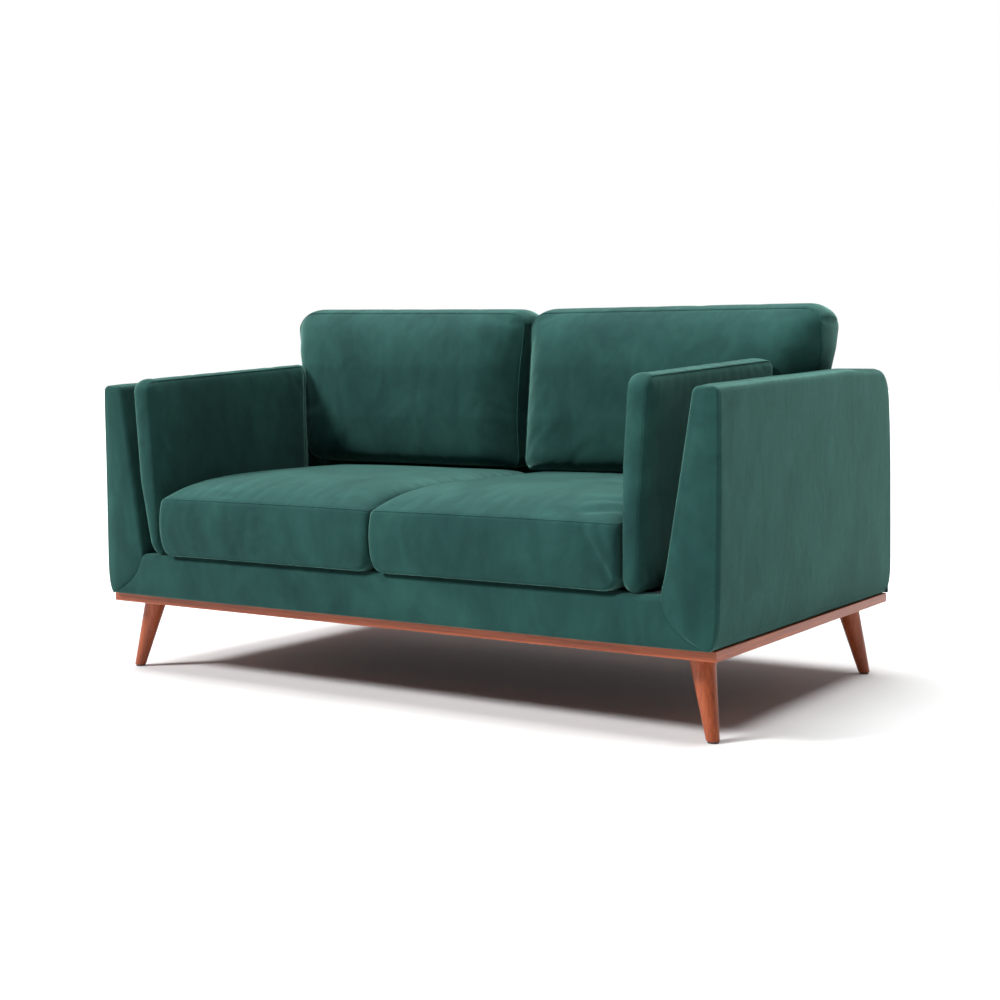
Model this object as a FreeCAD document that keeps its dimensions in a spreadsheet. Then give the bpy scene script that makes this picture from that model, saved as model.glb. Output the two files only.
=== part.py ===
"""Two-seat upholstered sofa: exposed mitred base frame on four splayed tapered legs, timber seat, arm and
back frames inside foam and covers, and six loose boxed cushions.

Frame of the part: +X to the sitter's left hand as seen from the front, -Y to the front, +Z up. The origin is
on the floor, in the middle of the overall width and depth. Millimetres.
"""

import FreeCAD, Part
import os
import re

import Sketcher
from FreeCAD import Rotation, Vector

DIMENSIONS = {
    # overall
    "half_width": 750,
    "half_depth": 460,
    # exposed base frame and legs
    "base_bottom": 154,
    "base_top": 174,
    "base_board": 95,
    "base_half_width": 743,
    "base_front": -425,
    "base_rear": 455,
    "glide_thick": 3,
    "glide_radius": 10,
    "glide_pin_radius": 2,
    "glide_pin_length": 14,
    "foot_radius": 12.5,
    "leg_top_radius": 25,
    "foot_x": 716,
    "leg_top_x": 683,
    "foot_front_y": -379,
    "leg_top_front_y": -357,
    "foot_rear_y": 395,
    "leg_top_rear_y": 370,
    "leg_bolt_radius": 4,
    "leg_bolt_low": 112,
    "leg_bolt_high": 182,
    "nut_barrel_radius": 5.5,
    "nut_flange_radius": 10,
    "nut_flange_thick": 2,
    "screw_radius": 2.25,
    "screw_head_radius": 4.5,
    "screw_head_thick": 3,
    "screw_length": 48,
    "wood_ease": 1.6,
    # timber seat frame
    "frame_top": 250,
    "frame_half_width": 728,
    "frame_side_thick": 28,
    "frame_front": -421,
    "frame_rail_thick": 25,
    "spring_rail_front": 225,
    "rear_rail_front": 424,
    "centre_rail_half": 15,
    "centre_rail_top": 236,
    "corner_block_leg": 70,
    "corner_block_top": 226,
    # springs and deck
    "spring_wire_radius": 1.8,
    "spring_level": 252.4,
    "spring_half_width": 26,
    "spring_pitch": 44,
    "spring_spacing": 118,
    "clip_length": 22,
    "clip_width": 14,
    "clip_top": 256,
    "deck_low": 256.5,
    "deck_top": 264.5,
    "dust_thick": 1,
    # arms
    "arm_front": -441,
    "skin": 2,
    "arm_bottom": 174,
    "arm_top_front": 638,
    "arm_top_rear": 667,
    "arm_slope_end": 195,
    "arm_inner_top": 699,
    "arm_inner_mid": 670,
    "arm_inner_low": 639,
    "arm_foot_x": 728,
    "arm_round": 14,
    "arm_post_depth": 45,
    "arm_post_top": 600,
    "arm_rear_post_front": 385,
    "arm_rear_post_rear": 424,
    "arm_rail_height": 32,
    "arm_panel_thick": 5,
    # back
    "back_foot_y": 183.6,
    "back_rake": 0.2217,
    "back_foam": 28,
    "back_top_round": 16,
    "rear_top_round_y": 385,
    "rear_lean_y": 431,
    "rear_lean_z": 600,
    "panel_thick": 3,
    "back_post_half": 15,
    "back_post_depth": 40,
    "back_post_x": 600,
    "back_rail_low": 602,
    "back_rail_high": 632,
    "back_rail_front": 297,
    "back_rail_depth": 40,
    "rear_top_rail_front": 385,
    "web_width": 50,
    "web_thick": 2,
    "web_spacing": 190,
    # cushions
    "seat_inner": 2,
    "seat_outer_left": 571,
    "seat_outer_right": 559.5,
    "seat_low": 265.5,
    "seat_rear": 181,
    "seat_corner": 30,
    "back_inner_left": 14,
    "back_inner_right": -10,
    "cushion_low": 446,
    "cushion_high": 812,
    "pad_low": 265.5,
    "pad_front": -451,
    "pad_rear": 140,
    "pad_inner_left": 572.5,
    "pad_inner_right": 561,
    "pad_outer_left": 615,
    "pad_outer_right": 606,
    "pad_belly_left": 28,
    "pad_belly_right": 4,
    "pad_lean_left": 43,
    "pad_lean_right": 18,
    "pad_ridge_left": 57.5,
    "pad_ridge_right": 36,
    "pad_tuck_low_left": 12,
    "pad_tuck_low_right": 0,
    "pad_tuck_mid_left": 19,
    "pad_tuck_mid_right": 1,
    "pad_tuck_high_left": 30,
    "pad_tuck_high_right": 9,
    "pad_top_front_left": 650,
    "pad_top_front_right": 659,
    "pad_top_rear_left": 686,
    "pad_top_rear_right": 690,
    "pad_bevel_x": 575,
    "pad_bevel_y": 60,
    "pad_bevel_angle": 45.5,
    "pad_wedge": 400,
    "pad_wedge_height": 600,
}

document = FreeCAD.newDocument("Sofa")
sheet = document.addObject("Spreadsheet::Sheet", "dims")
for row, (alias, size) in enumerate(DIMENSIONS.items(), start=1):
    sheet.set(f"A{row}", alias)
    sheet.set(f"B{row}", str(size))
    sheet.setAlias(f"B{row}", alias)
document.recompute()

NODES = {}
SIDES = (("left", -1), ("right", 1))
HANDS = {side: hand for hand, side in SIDES}


def formula(text):
    """An expression in which each driving dimension is looked up in the sheet."""
    return re.sub(r"[a-z][a-z_]*", lambda word: "dims." + word.group(), str(text))


def number(text):
    """The present value of an expression of driving dimensions."""
    return float(sheet.evalExpression(formula(text)))


def bind(target, prop, text):
    target.setExpression(prop, formula(text))


def node(name, target):
    """Makes an object a sub-part of the sofa, which gets a file of its own."""
    target.Label = name
    NODES[name] = target
    return target


def span(side, inner, outer):
    """The lower and upper X of a piece between two distances from the middle, on one side."""
    if side > 0:
        return f"{inner}", f"{outer}"
    return f"-({outer})", f"-({inner})"


def box(name, x_span, y_span, z_span):
    """A block whose six faces are given by expressions."""
    block = document.addObject("Part::Box", name)
    for size, axis, (low, high) in zip(
        ("Length", "Width", "Height"), "xyz", (x_span, y_span, z_span)
    ):
        bind(block, size, f"({high}) - ({low})")
        bind(block, f"Placement.Base.{axis}", low)
    return block


def cylinder(name, radius, x, y, low, high):
    """An upright rod from one height to another."""
    rod = document.addObject("Part::Cylinder", name)
    bind(rod, "Radius", radius)
    bind(rod, "Height", f"({high}) - ({low})")
    for axis, place in zip("xyz", (x, y, low)):
        bind(rod, f"Placement.Base.{axis}", place)
    return rod


def cut(name, base, tool):
    result = document.addObject("Part::Cut", name)
    result.Base = base
    result.Tool = tool
    return result


def common(name, base, tool):
    result = document.addObject("Part::Common", name)
    result.Base = base
    result.Tool = tool
    return result


def fuse(name, pieces):
    result = document.addObject("Part::MultiFuse", name)
    result.Shapes = pieces
    return result


def group(name, pieces):
    """Separate solids that share one sub-part, such as equal fasteners."""
    result = document.addObject("Part::Compound", name)
    result.Links = pieces
    return result


def origin_plane(body, role):
    for feature in body.Origin.OriginFeatures:
        if feature.Role == role:
            return feature
    raise ValueError(role)


def pin_point(sketch, place, x, y):
    """Holds one point of a sketch at coordinates given by expressions."""
    for kind, text in (("DistanceX", x), ("DistanceY", y)):
        index = sketch.addConstraint(
            Sketcher.Constraint(kind, -1, 1, *place, number(text))
        )
        bind(sketch, f"Constraints[{index}]", text)


def outline(body, plane, offset, points):
    """A closed sketch through the points. A third item, "via", marks the middle of an arc."""
    sketch = body.newObject("Sketcher::SketchObject", body.Name + "_outline")
    sketch.AttachmentSupport = [(origin_plane(body, plane), "")]
    sketch.MapMode = "FlatFace"
    bind(sketch, "AttachmentOffset.Base.z", offset)
    corners = [i for i, point in enumerate(points) if len(point) == 2]
    places = [Vector(number(point[0]), number(point[1]), 0) for point in points]
    ends = []
    for here, there in zip(corners, corners[1:] + [corners[0] + len(points)]):
        start, end = places[here], places[there % len(points)]
        if there - here == 1:
            edge = sketch.addGeometry(Part.LineSegment(start, end))
            first, last = 1, 2
        else:
            middle = here + 1
            clockwise = (places[middle] - start).cross(end - places[middle]).z < 0
            first, last = (2, 1) if clockwise else (1, 2)
            arc_ends = (end, start) if clockwise else (start, end)
            arc = Part.Arc(arc_ends[0], places[middle], arc_ends[1])
            edge = sketch.addGeometry(arc)
            mark = sketch.addGeometry(Part.Point(places[middle]), True)
            sketch.addConstraint(Sketcher.Constraint("PointOnObject", mark, 1, edge))
            pin_point(sketch, (mark, 1), *points[middle][:2])
        pin_point(sketch, (edge, first), *points[here])
        ends.append(((edge, first), (edge, last)))
    for (_, last), (first, _) in zip(ends, ends[1:] + ends[:1]):
        sketch.addConstraint(Sketcher.Constraint("Coincident", *last, *first))
    return sketch


def ease(body, shape, chosen):
    """Rounds the chosen edges of a wooden piece, as sanding does."""
    document.recompute()
    names = [f"Edge{i}" for i, edge in enumerate(shape.Shape.Edges, start=1) if chosen(edge)]
    rounding = body.newObject("PartDesign::Fillet", body.Name + "_ease")
    rounding.Base = (shape, names)
    bind(rounding, "Radius", "wood_ease")


def prism(name, plane, points, length, offset="0", midplane=False, eased=None):
    """A padded outline. Its edges that pass the test are rounded."""
    body = document.addObject("PartDesign::Body", name)
    pad = body.newObject("PartDesign::Pad", name + "_pad")
    pad.Profile = outline(body, plane, offset, points)
    bind(pad, "Length", length)
    pad.Midplane = midplane
    if eased:
        ease(body, pad, eased)
    return body


def loft(name, plane, sections):
    """A solid ruled through outlines at several offsets from a plane."""
    body = document.addObject("PartDesign::Body", name)
    outlines = [outline(body, plane, offset, points) for offset, points in sections]
    skin = body.newObject("PartDesign::AdditiveLoft", name + "_loft")
    skin.Profile = outlines[0]
    skin.Sections = outlines[1:]
    skin.Ruled = True
    return body


def mirrored(side, points):
    """The same outline on one side or the other of the middle."""
    return [(f"{side} * ({point[0]})", *point[1:]) for point in points]


# ---------------------------------------------------------------- base frame, legs and their fasteners
LEGS = [
    (f"{end}_{hand}", side, end) for end in ("front", "rear") for hand, side in SIDES
]


def leg_bolts():
    rods = [
        cylinder(
            f"leg_bolt_{name}",
            "leg_bolt_radius",
            f"{side} * leg_top_x",
            f"leg_top_{end}_y",
            "leg_bolt_low",
            "leg_bolt_high",
        )
        for name, side, end in LEGS
    ]
    return node("leg_bolts", group("leg_bolts", rods))


def leg_nuts(bolts):
    """Tee nuts pressed into the base frame, with their flanges on its upper face. Returns them unbored."""
    nuts = []
    for name, side, end in LEGS:
        place = (f"{side} * leg_top_x", f"leg_top_{end}_y")
        barrel = cylinder(
            f"barrel_{name}",
            "nut_barrel_radius",
            *place,
            "base_bottom + 4",
            "base_top",
        )
        flange = cylinder(
            f"flange_{name}",
            "nut_flange_radius",
            *place,
            "base_top",
            "base_top + nut_flange_thick",
        )
        nuts.append(fuse(f"nut_blank_{name}", [barrel, flange]))
    blanks = group("nut_blanks", nuts)
    node("leg_nuts", cut("leg_nuts", blanks, bolts))
    return blanks


def foot_glides():
    glides = []
    for name, side, end in LEGS:
        place = (f"{side} * foot_x", f"foot_{end}_y")
        disc = cylinder(f"glide_disc_{name}", "glide_radius", *place, 0, "glide_thick")
        pin = cylinder(
            f"glide_pin_{name}",
            "glide_pin_radius",
            *place,
            "glide_thick",
            "glide_pin_length",
        )
        glides.append(fuse(f"glide_{name}", [disc, pin]))
    return node("foot_glides", group("foot_glides", glides))


def leg(name, side, end, holes):
    """A straight taper from the foot, whose edge is eased, to the base frame. It leans out to the corner."""
    body = document.addObject("PartDesign::Body", f"leg_blank_{name}")
    rings = []
    foot = ("foot_x", f"foot_{end}_y")
    top = ("leg_top_x", f"leg_top_{end}_y")
    for ring, radius, (x, y), height in (
        ("sole", "foot_radius - wood_ease", foot, "glide_thick"),
        ("foot", "foot_radius", foot, "glide_thick + wood_ease"),
        ("top", "leg_top_radius", top, "base_bottom"),
    ):
        sketch = body.newObject("Sketcher::SketchObject", f"{ring}_ring")
        sketch.AttachmentSupport = [(origin_plane(body, "XY_Plane"), "")]
        sketch.MapMode = "FlatFace"
        bind(sketch, "AttachmentOffset.Base.z", height)
        centre = Vector(side * number(x), number(y), 0)
        circle = sketch.addGeometry(
            Part.Circle(centre, Vector(0, 0, 1), number(radius))
        )
        pin_point(sketch, (circle, 3), f"{side} * {x}", y)
        size = sketch.addConstraint(
            Sketcher.Constraint("Radius", circle, number(radius))
        )
        bind(sketch, f"Constraints[{size}]", radius)
        rings.append(sketch)
    taper = body.newObject("PartDesign::AdditiveLoft", "taper")
    taper.Profile = rings[0]
    taper.Sections = rings[1:]
    taper.Ruled = True
    return node(f"leg_{name}", cut(f"leg_{name}", body, holes))


def base_screws():
    """Countersunk screws up through the base frame into the seat frame."""
    places = [
        (f"{side} * (frame_half_width - frame_side_thick / 2)", f"{step} * 150")
        for _, side in SIDES
        for step in (-2, 0, 2)
    ]
    places += [(f"{step} * 220", "base_front + 17") for step in (-2, 0, 2)]
    places += [(f"{step} * 220", "base_rear - 17") for step in (-2, 0, 2)]
    screws = []
    for index, (x, y) in enumerate(places):
        head = document.addObject("Part::Cone", f"screw_head_{index}")
        bind(head, "Radius1", "screw_head_radius")
        bind(head, "Radius2", "screw_radius")
        bind(head, "Height", "screw_head_thick")
        for axis, place in zip("xyz", (x, y, "base_bottom")):
            bind(head, f"Placement.Base.{axis}", place)
        shank = cylinder(
            f"screw_shank_{index}",
            "screw_radius",
            x,
            y,
            "base_bottom + screw_head_thick",
            "base_bottom + screw_length",
        )
        screws.append(fuse(f"screw_{index}", [head, shank]))
    return node("base_screws", group("base_screws", screws))


def base_rails(holes):
    """Four flat boards, mitred at the corners."""
    outer_x, inner_x = "base_half_width", "(base_half_width - base_board)"
    thick = number("base_top - base_bottom")
    for name, outer_y, inner_y in (
        ("front", "base_front", "(base_front + base_board)"),
        ("rear", "base_rear", "(base_rear - base_board)"),
    ):
        board = prism(
            f"board_{name}",
            "XY_Plane",
            [
                (f"-{outer_x}", outer_y),
                (outer_x, outer_y),
                (inner_x, inner_y),
                (f"-{inner_x}", inner_y),
            ],
            "base_top - base_bottom",
            "base_bottom",
            eased=lambda edge, face=number(outer_y): (
                edge.Length > 2 * thick and abs(edge.CenterOfMass.y - face) < 0.1
            ),
        )
        node(f"base_rail_{name}", cut(f"base_rail_{name}", board, holes))
    for name, side in SIDES:
        board = prism(
            f"board_{name}",
            "XY_Plane",
            mirrored(
                side,
                [
                    (outer_x, "base_front"),
                    (outer_x, "base_rear"),
                    (inner_x, "base_rear - base_board"),
                    (inner_x, "base_front + base_board"),
                ],
            ),
            "base_top - base_bottom",
            "base_bottom",
            eased=lambda edge, face=side * number(outer_x): (
                edge.Length > 2 * thick and abs(edge.CenterOfMass.x - face) < 0.1
            ),
        )
        node(f"base_rail_{name}", cut(f"base_rail_{name}", board, holes))


# ---------------------------------------------------------------- seat frame, springs and deck
INNER_SIDE = "(frame_half_width - frame_side_thick)"
ARM_POST_REAR_OF_FRONT = "(frame_front + arm_post_depth)"


def seat_frame(holes):
    heights = ("base_top", "frame_top")
    across = (f"-{INNER_SIDE}", INNER_SIDE)
    rails = {
        "front": (across, ("frame_front", "frame_front + frame_rail_thick")),
        "spring": (across, ("spring_rail_front", "spring_rail_front + frame_rail_thick")),
        "rear": (
            ("-frame_half_width", "frame_half_width"),
            ("rear_rail_front", "rear_rail_front + frame_rail_thick"),
        ),
    }
    for hand, side in SIDES:
        x_span = span(side, INNER_SIDE, "frame_half_width")
        rails[hand] = (x_span, (ARM_POST_REAR_OF_FRONT, "arm_rear_post_front"))
    for name, (x_span, y_span) in rails.items():
        blank = box(f"frame_blank_{name}", x_span, y_span, heights)
        node(f"frame_rail_{name}", cut(f"frame_rail_{name}", blank, holes))
    node(
        "frame_rail_centre",
        box(
            "frame_rail_centre",
            ("-centre_rail_half", "centre_rail_half"),
            ("frame_front + frame_rail_thick", "spring_rail_front"),
            ("base_top", "centre_rail_top"),
        ),
    )


def corner_blocks(holes):
    """Triangular blocks glued into the corners of the seat frame, over the legs."""
    blocks = []
    corners = (
        ("front", "(frame_front + frame_rail_thick)", 1),
        ("rear", "rear_rail_front", -1),
    )
    for name, side, end in LEGS:
        _, wall, inward = next(corner for corner in corners if corner[0] == end)
        blocks.append(
            prism(
                f"corner_block_{name}",
                "XY_Plane",
                mirrored(
                    side,
                    [
                        (INNER_SIDE, wall),
                        (f"{INNER_SIDE} - corner_block_leg", wall),
                        (INNER_SIDE, f"{wall} + {inward} * corner_block_leg"),
                    ],
                ),
                "corner_block_top - base_top",
                "base_top",
            )
        )
    blanks = group("corner_block_blanks", blocks)
    node("frame_corner_blocks", cut("frame_corner_blocks", blanks, holes))


SPRING_STEPS = (-2, -1, 0, 1, 2)
# How far the middle of a quarter arc lies inside its corner, as a share of its radius.
OFF_ARC = 0.293


def spring_places():
    """The X of each spring: five under either seat."""
    middle = number("seat_outer_right") / 2
    return [
        side * middle + step * number("spring_spacing") * 0.85
        for _, side in SIDES
        for step in SPRING_STEPS
    ]


def seat_springs():
    """Sinuous springs: flat wire zigzags with round bends, from the front rail to the spring rail."""
    front = number("frame_front + frame_rail_thick / 2")
    rear = number("spring_rail_front + frame_rail_thick / 2")
    level = number("spring_level")
    half = number("spring_half_width")
    bend = number("spring_pitch") / 4
    straight = half - bend
    turns = int((rear - front) / (2 * bend)) - 1
    margin = (rear - front - turns * 2 * bend) / 2
    springs = []
    for x in spring_places():
        y = front + margin
        edges = [
            Part.LineSegment(Vector(x, front, level), Vector(x, y - bend, level)),
            Part.Arc(
                Vector(x, y - bend, level),
                Vector(x + bend * OFF_ARC, y - bend * OFF_ARC, level),
                Vector(x + bend, y, level),
            ),
            Part.LineSegment(Vector(x + bend, y, level), Vector(x + straight, y, level)),
        ]
        hand = 1
        for turn in range(turns):
            edges.append(
                Part.Arc(
                    Vector(x + hand * straight, y, level),
                    Vector(x + hand * half, y + bend, level),
                    Vector(x + hand * straight, y + 2 * bend, level),
                )
            )
            y += 2 * bend
            reach = -straight if turn < turns - 1 else bend
            edges.append(
                Part.LineSegment(
                    Vector(x + hand * straight, y, level), Vector(x + hand * reach, y, level)
                )
            )
            hand = -hand
        hand = -hand
        edges.append(
            Part.Arc(
                Vector(x + hand * bend, y, level),
                Vector(x + hand * bend * OFF_ARC, y + bend * OFF_ARC, level),
                Vector(x, y + bend, level),
            )
        )
        edges.append(Part.LineSegment(Vector(x, y + bend, level), Vector(x, rear, level)))
        path = Part.Wire([edge.toShape() for edge in edges])
        ring = Part.Wire(
            Part.Circle(
                Vector(x, front, level), Vector(0, 1, 0), number("spring_wire_radius")
            ).toShape()
        )
        springs.append(path.makePipeShell([ring], True, False))
    feature = document.addObject("Part::Feature", "seat_springs")
    feature.Shape = Part.makeCompound(springs)
    return node("seat_springs", feature)


def spring_clips(springs):
    """A clip over each end of each spring, nailed to the rail."""
    clips = []
    ends = (
        ("front", "frame_front + frame_rail_thick / 2 + 2"),
        ("rear", "spring_rail_front + frame_rail_thick / 2 - 2"),
    )
    for end, middle in ends:
        for index, x in enumerate(spring_places()):
            clips.append(
                box(
                    f"clip_{end}_{index}",
                    (f"{x:.2f} - clip_width / 2", f"{x:.2f} + clip_width / 2"),
                    (f"{middle} - clip_length / 2", f"{middle} + clip_length / 2"),
                    ("frame_top", "clip_top"),
                )
            )
    blanks = group("clip_blanks", clips)
    return node("spring_clips", cut("spring_clips", blanks, springs))


# ---------------------------------------------------------------- arms
ARM_TIMBERS = ("arm_front_post", "arm_rear_post", "arm_top_rail", "arm_side_panel")


def arm_section(side, top, inset, drop):
    """The arm seen from the front: slim at the top, wide at the deck, and rounded in under at the foot."""
    outer = f"half_width - {inset}"
    inner_top = f"arm_inner_top + {inset}"
    return mirrored(
        side,
        [
            (f"arm_foot_x - {inset}", f"arm_bottom - {drop}"),
            (f"{outer} - 7.3", f"arm_bottom + 31 - {drop}", "via"),
            (outer, f"arm_bottom + 76 - {drop}"),
            (outer, f"{top} - {inset} - arm_round"),
            (
                f"{outer} - {OFF_ARC} * arm_round",
                f"{top} - {inset} - {OFF_ARC} * arm_round",
                "via",
            ),
            (f"{outer} - arm_round", f"{top} - {inset}"),
            (f"{inner_top} + arm_round - 2", f"{top} - {inset}"),
            (f"{inner_top} + 3", f"{top} - {inset} - 5", "via"),
            (inner_top, f"{top} - {inset} - arm_round"),
            (f"arm_inner_mid + {inset}", "485", "via"),
            (f"arm_inner_low + {inset}", f"deck_top - {drop}"),
            (f"arm_inner_low + 33 + {inset}", f"arm_bottom + 38 - {drop}", "via"),
        ],
    )


def arm_loft(name, side, inset, drop, front, rear):
    """The arm's top rises gently and then runs level to the rear."""
    stations = (
        (front, "arm_top_front"),
        ("arm_slope_end", "arm_top_rear"),
        (rear, "arm_top_rear"),
    )
    return loft(
        name,
        "XZ_Plane",
        [(f"-({y})", arm_section(side, top, inset, drop)) for y, top in stations],
    )


REAR_LEAN = "(half_depth - rear_lean_y) / (rear_lean_z - arm_bottom)"


def side_outline(name, inset):
    """The whole sofa's side view behind the arms' front: a rear edge that leans forward and rounds over."""
    return prism(
        name,
        "YZ_Plane",
        [
            ("arm_front - 20", "arm_bottom - 20"),
            (
                f"half_depth - panel_thick - {inset} + 20 * {REAR_LEAN}",
                "arm_bottom - 20",
            ),
            (f"rear_lean_y - panel_thick - {inset}", "rear_lean_z"),
            (
                f"rear_lean_y - panel_thick - 9 - 0.7 * {inset}",
                f"arm_top_rear - 21 - 0.7 * {inset}",
                "via",
            ),
            ("rear_top_round_y", f"arm_top_rear - {inset}"),
            ("rear_top_round_y", "arm_top_rear + 40"),
            ("arm_front - 20", "arm_top_rear + 40"),
        ],
        "2 * half_width + 40",
        midplane=True,
    )


def arm_frame(hand, side):
    x_span = span(side, INNER_SIDE, "frame_half_width")
    front_post = (x_span, ("frame_front", ARM_POST_REAR_OF_FRONT), ("base_top", "arm_post_top"))
    rear_post = (
        x_span,
        ("arm_rear_post_front", "arm_rear_post_rear"),
        ("base_top", "arm_post_top"),
    )
    top_rail = (
        x_span,
        (ARM_POST_REAR_OF_FRONT, "arm_rear_post_front"),
        ("arm_post_top - arm_rail_height", "arm_post_top"),
    )
    panel = (
        span(side, "frame_half_width", "frame_half_width + arm_panel_thick"),
        ("frame_front", "arm_rear_post_rear"),
        ("arm_bottom + 60", "arm_post_top"),
    )
    for name, spans in zip(ARM_TIMBERS, (front_post, rear_post, top_rail, panel)):
        node(f"{name}_{hand}", box(f"{name}_{hand}", *spans))


def arms():
    """Each arm's cover is an open-bottomed skin, and its foam fills the cover around the timbers."""
    outers = []
    outer_trim = side_outline("side_outline", "0")
    inner_trim = side_outline("side_outline_inner", "skin")
    for hand, side in SIDES:
        arm_frame(hand, side)
        timbers = [NODES[f"{part}_{hand}"] for part in ARM_TIMBERS]
        timbers += [NODES[f"frame_rail_{rail}"] for rail in (hand, "front", "spring", "rear")]
        fasteners = ("frame_corner_blocks", "base_screws", "leg_bolts", "leg_nuts")
        timbers += [NODES[name] for name in fasteners]
        full = arm_loft(f"arm_full_{hand}", side, "0", "0", "arm_front", "half_depth + 5")
        outer = common(f"arm_outer_{hand}", full, outer_trim)
        inner_full = arm_loft(
            f"arm_inner_full_{hand}", side, "skin", "6", "arm_front + skin", "half_depth + 8"
        )
        inner = common(f"arm_inner_{hand}", inner_full, inner_trim)
        node(f"arm_cover_{hand}", cut(f"arm_cover_{hand}", outer, inner))
        filling = common(f"arm_filling_{hand}", outer, inner)
        frame = fuse(f"arm_timbers_{hand}", timbers)
        node(f"arm_foam_{hand}", cut(f"arm_foam_{hand}", filling, frame))
        outers.append(outer)
    return fuse("arms_outer", outers)


# ---------------------------------------------------------------- front strip, deck and dust cover
def front_strip(arms_outer):
    """Foam and cover over the front rail, which run into the arms along a curved seam."""
    rail_rear = "frame_front + frame_rail_thick"
    cover = prism(
        "front_cover_blank",
        "YZ_Plane",
        [
            ("arm_front", "arm_bottom"),
            ("arm_front", "deck_top - 10"),
            ("arm_front + 3", "deck_top - 3", "via"),
            ("arm_front + 10", "deck_top"),
            (rail_rear, "deck_top"),
            (rail_rear, "deck_top - skin"),
            ("arm_front + 10", "deck_top - skin"),
            ("arm_front + 3 + 1.4", "deck_top - 3 - 1.4", "via"),
            ("arm_front + skin", "deck_top - 10"),
            ("arm_front + skin", "arm_bottom"),
        ],
        "2 * arm_foot_x",
        midplane=True,
    )
    foam = prism(
        "front_foam_blank",
        "YZ_Plane",
        [
            ("arm_front + skin", "arm_bottom"),
            ("arm_front + skin", "deck_top - 10"),
            ("arm_front + 3 + 1.4", "deck_top - 3 - 1.4", "via"),
            ("arm_front + 10", "deck_top - skin"),
            (rail_rear, "deck_top - skin"),
            (rail_rear, "deck_low"),
            ("frame_front", "deck_low"),
            ("frame_front", "arm_bottom"),
        ],
        "2 * arm_foot_x",
        midplane=True,
    )
    for name, blank in (("front_cover", cover), ("front_foam", foam)):
        node(name, cut(name, blank, arms_outer))


def deck(arms_outer, backing):
    across = ("-arm_inner_low - 6", "arm_inner_low + 6")
    length = ("frame_front + frame_rail_thick", "back_foot_y + 6")
    blank = box("deck_blank", across, length, ("deck_low", "deck_top"))
    trimmed = cut("deck_trimmed", blank, arms_outer)
    node("deck_pad", cut("deck_pad", trimmed, backing))


def dust_cover():
    edge = "base_half_width - base_board"
    node(
        "dust_cover",
        box(
            "dust_cover",
            (f"-({edge}) + 2", f"{edge} - 2"),
            ("base_front + base_board + 2", "base_rear - base_board - 2"),
            ("base_top - dust_thick", "base_top"),
        ),
    )


# ---------------------------------------------------------------- back
def raked(height, shift="0"):
    """Y of the back's inside face at a height, moved to the rear by a distance."""
    return f"back_foot_y + {shift} + back_rake * ({height} - deck_top)"


def back_padding(arms_outer):
    """Foam and cover over the inside and top of the back, ending below the top of the rear face."""
    knee = "arm_top_rear - back_top_round"
    tail = "rear_lean_z - 40"

    def path(inset):
        """Inside face, rounded top edge, level top, and the rounding over to the rear."""
        return [
            (raked("deck_top", inset), "deck_top"),
            (raked(knee, inset), knee),
            (
                f"{raked(knee, inset)} + 7",
                f"arm_top_rear - {inset} - 3.5",
                "via",
            ),
            (f"{raked(knee)} + 22", f"arm_top_rear - {inset}"),
            ("rear_top_round_y", f"arm_top_rear - {inset}"),
            (
                f"rear_lean_y - panel_thick - 9 - 0.7 * {inset}",
                f"arm_top_rear - 21 - 0.7 * {inset}",
                "via",
            ),
            (f"rear_lean_y - panel_thick - {inset}", "rear_lean_z"),
            (f"rear_lean_y - panel_thick + 2 - {inset}", tail),
        ]

    cover = prism(
        "back_cover_blank",
        "YZ_Plane",
        path("0") + list(reversed(path("skin"))),
        "2 * (arm_inner_top + arm_round)",
        midplane=True,
    )
    foam = prism(
        "back_foam_blank",
        "YZ_Plane",
        path("skin")[:-1]
        + [
            ("rear_top_rail_front + frame_rail_thick", "rear_lean_z"),
            ("rear_top_rail_front + frame_rail_thick", "back_rail_high"),
            (raked("back_rail_high", "back_foam"), "back_rail_high"),
            (raked("deck_top", "back_foam"), "deck_top"),
        ],
        "2 * arm_inner_top",
        midplane=True,
    )
    for name, blank in (("back_cover", cover), ("back_foam", foam)):
        node(name, cut(name, blank, arms_outer))


def outside_back():
    node(
        "outside_back_panel",
        prism(
            "outside_back_panel",
            "YZ_Plane",
            [
                ("half_depth - panel_thick", "arm_bottom"),
                ("half_depth", "arm_bottom"),
                ("rear_lean_y", "rear_lean_z"),
                ("rear_lean_y - panel_thick", "rear_lean_z"),
            ],
            "2 * (half_width - 3)",
            midplane=True,
        ),
    )


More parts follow.
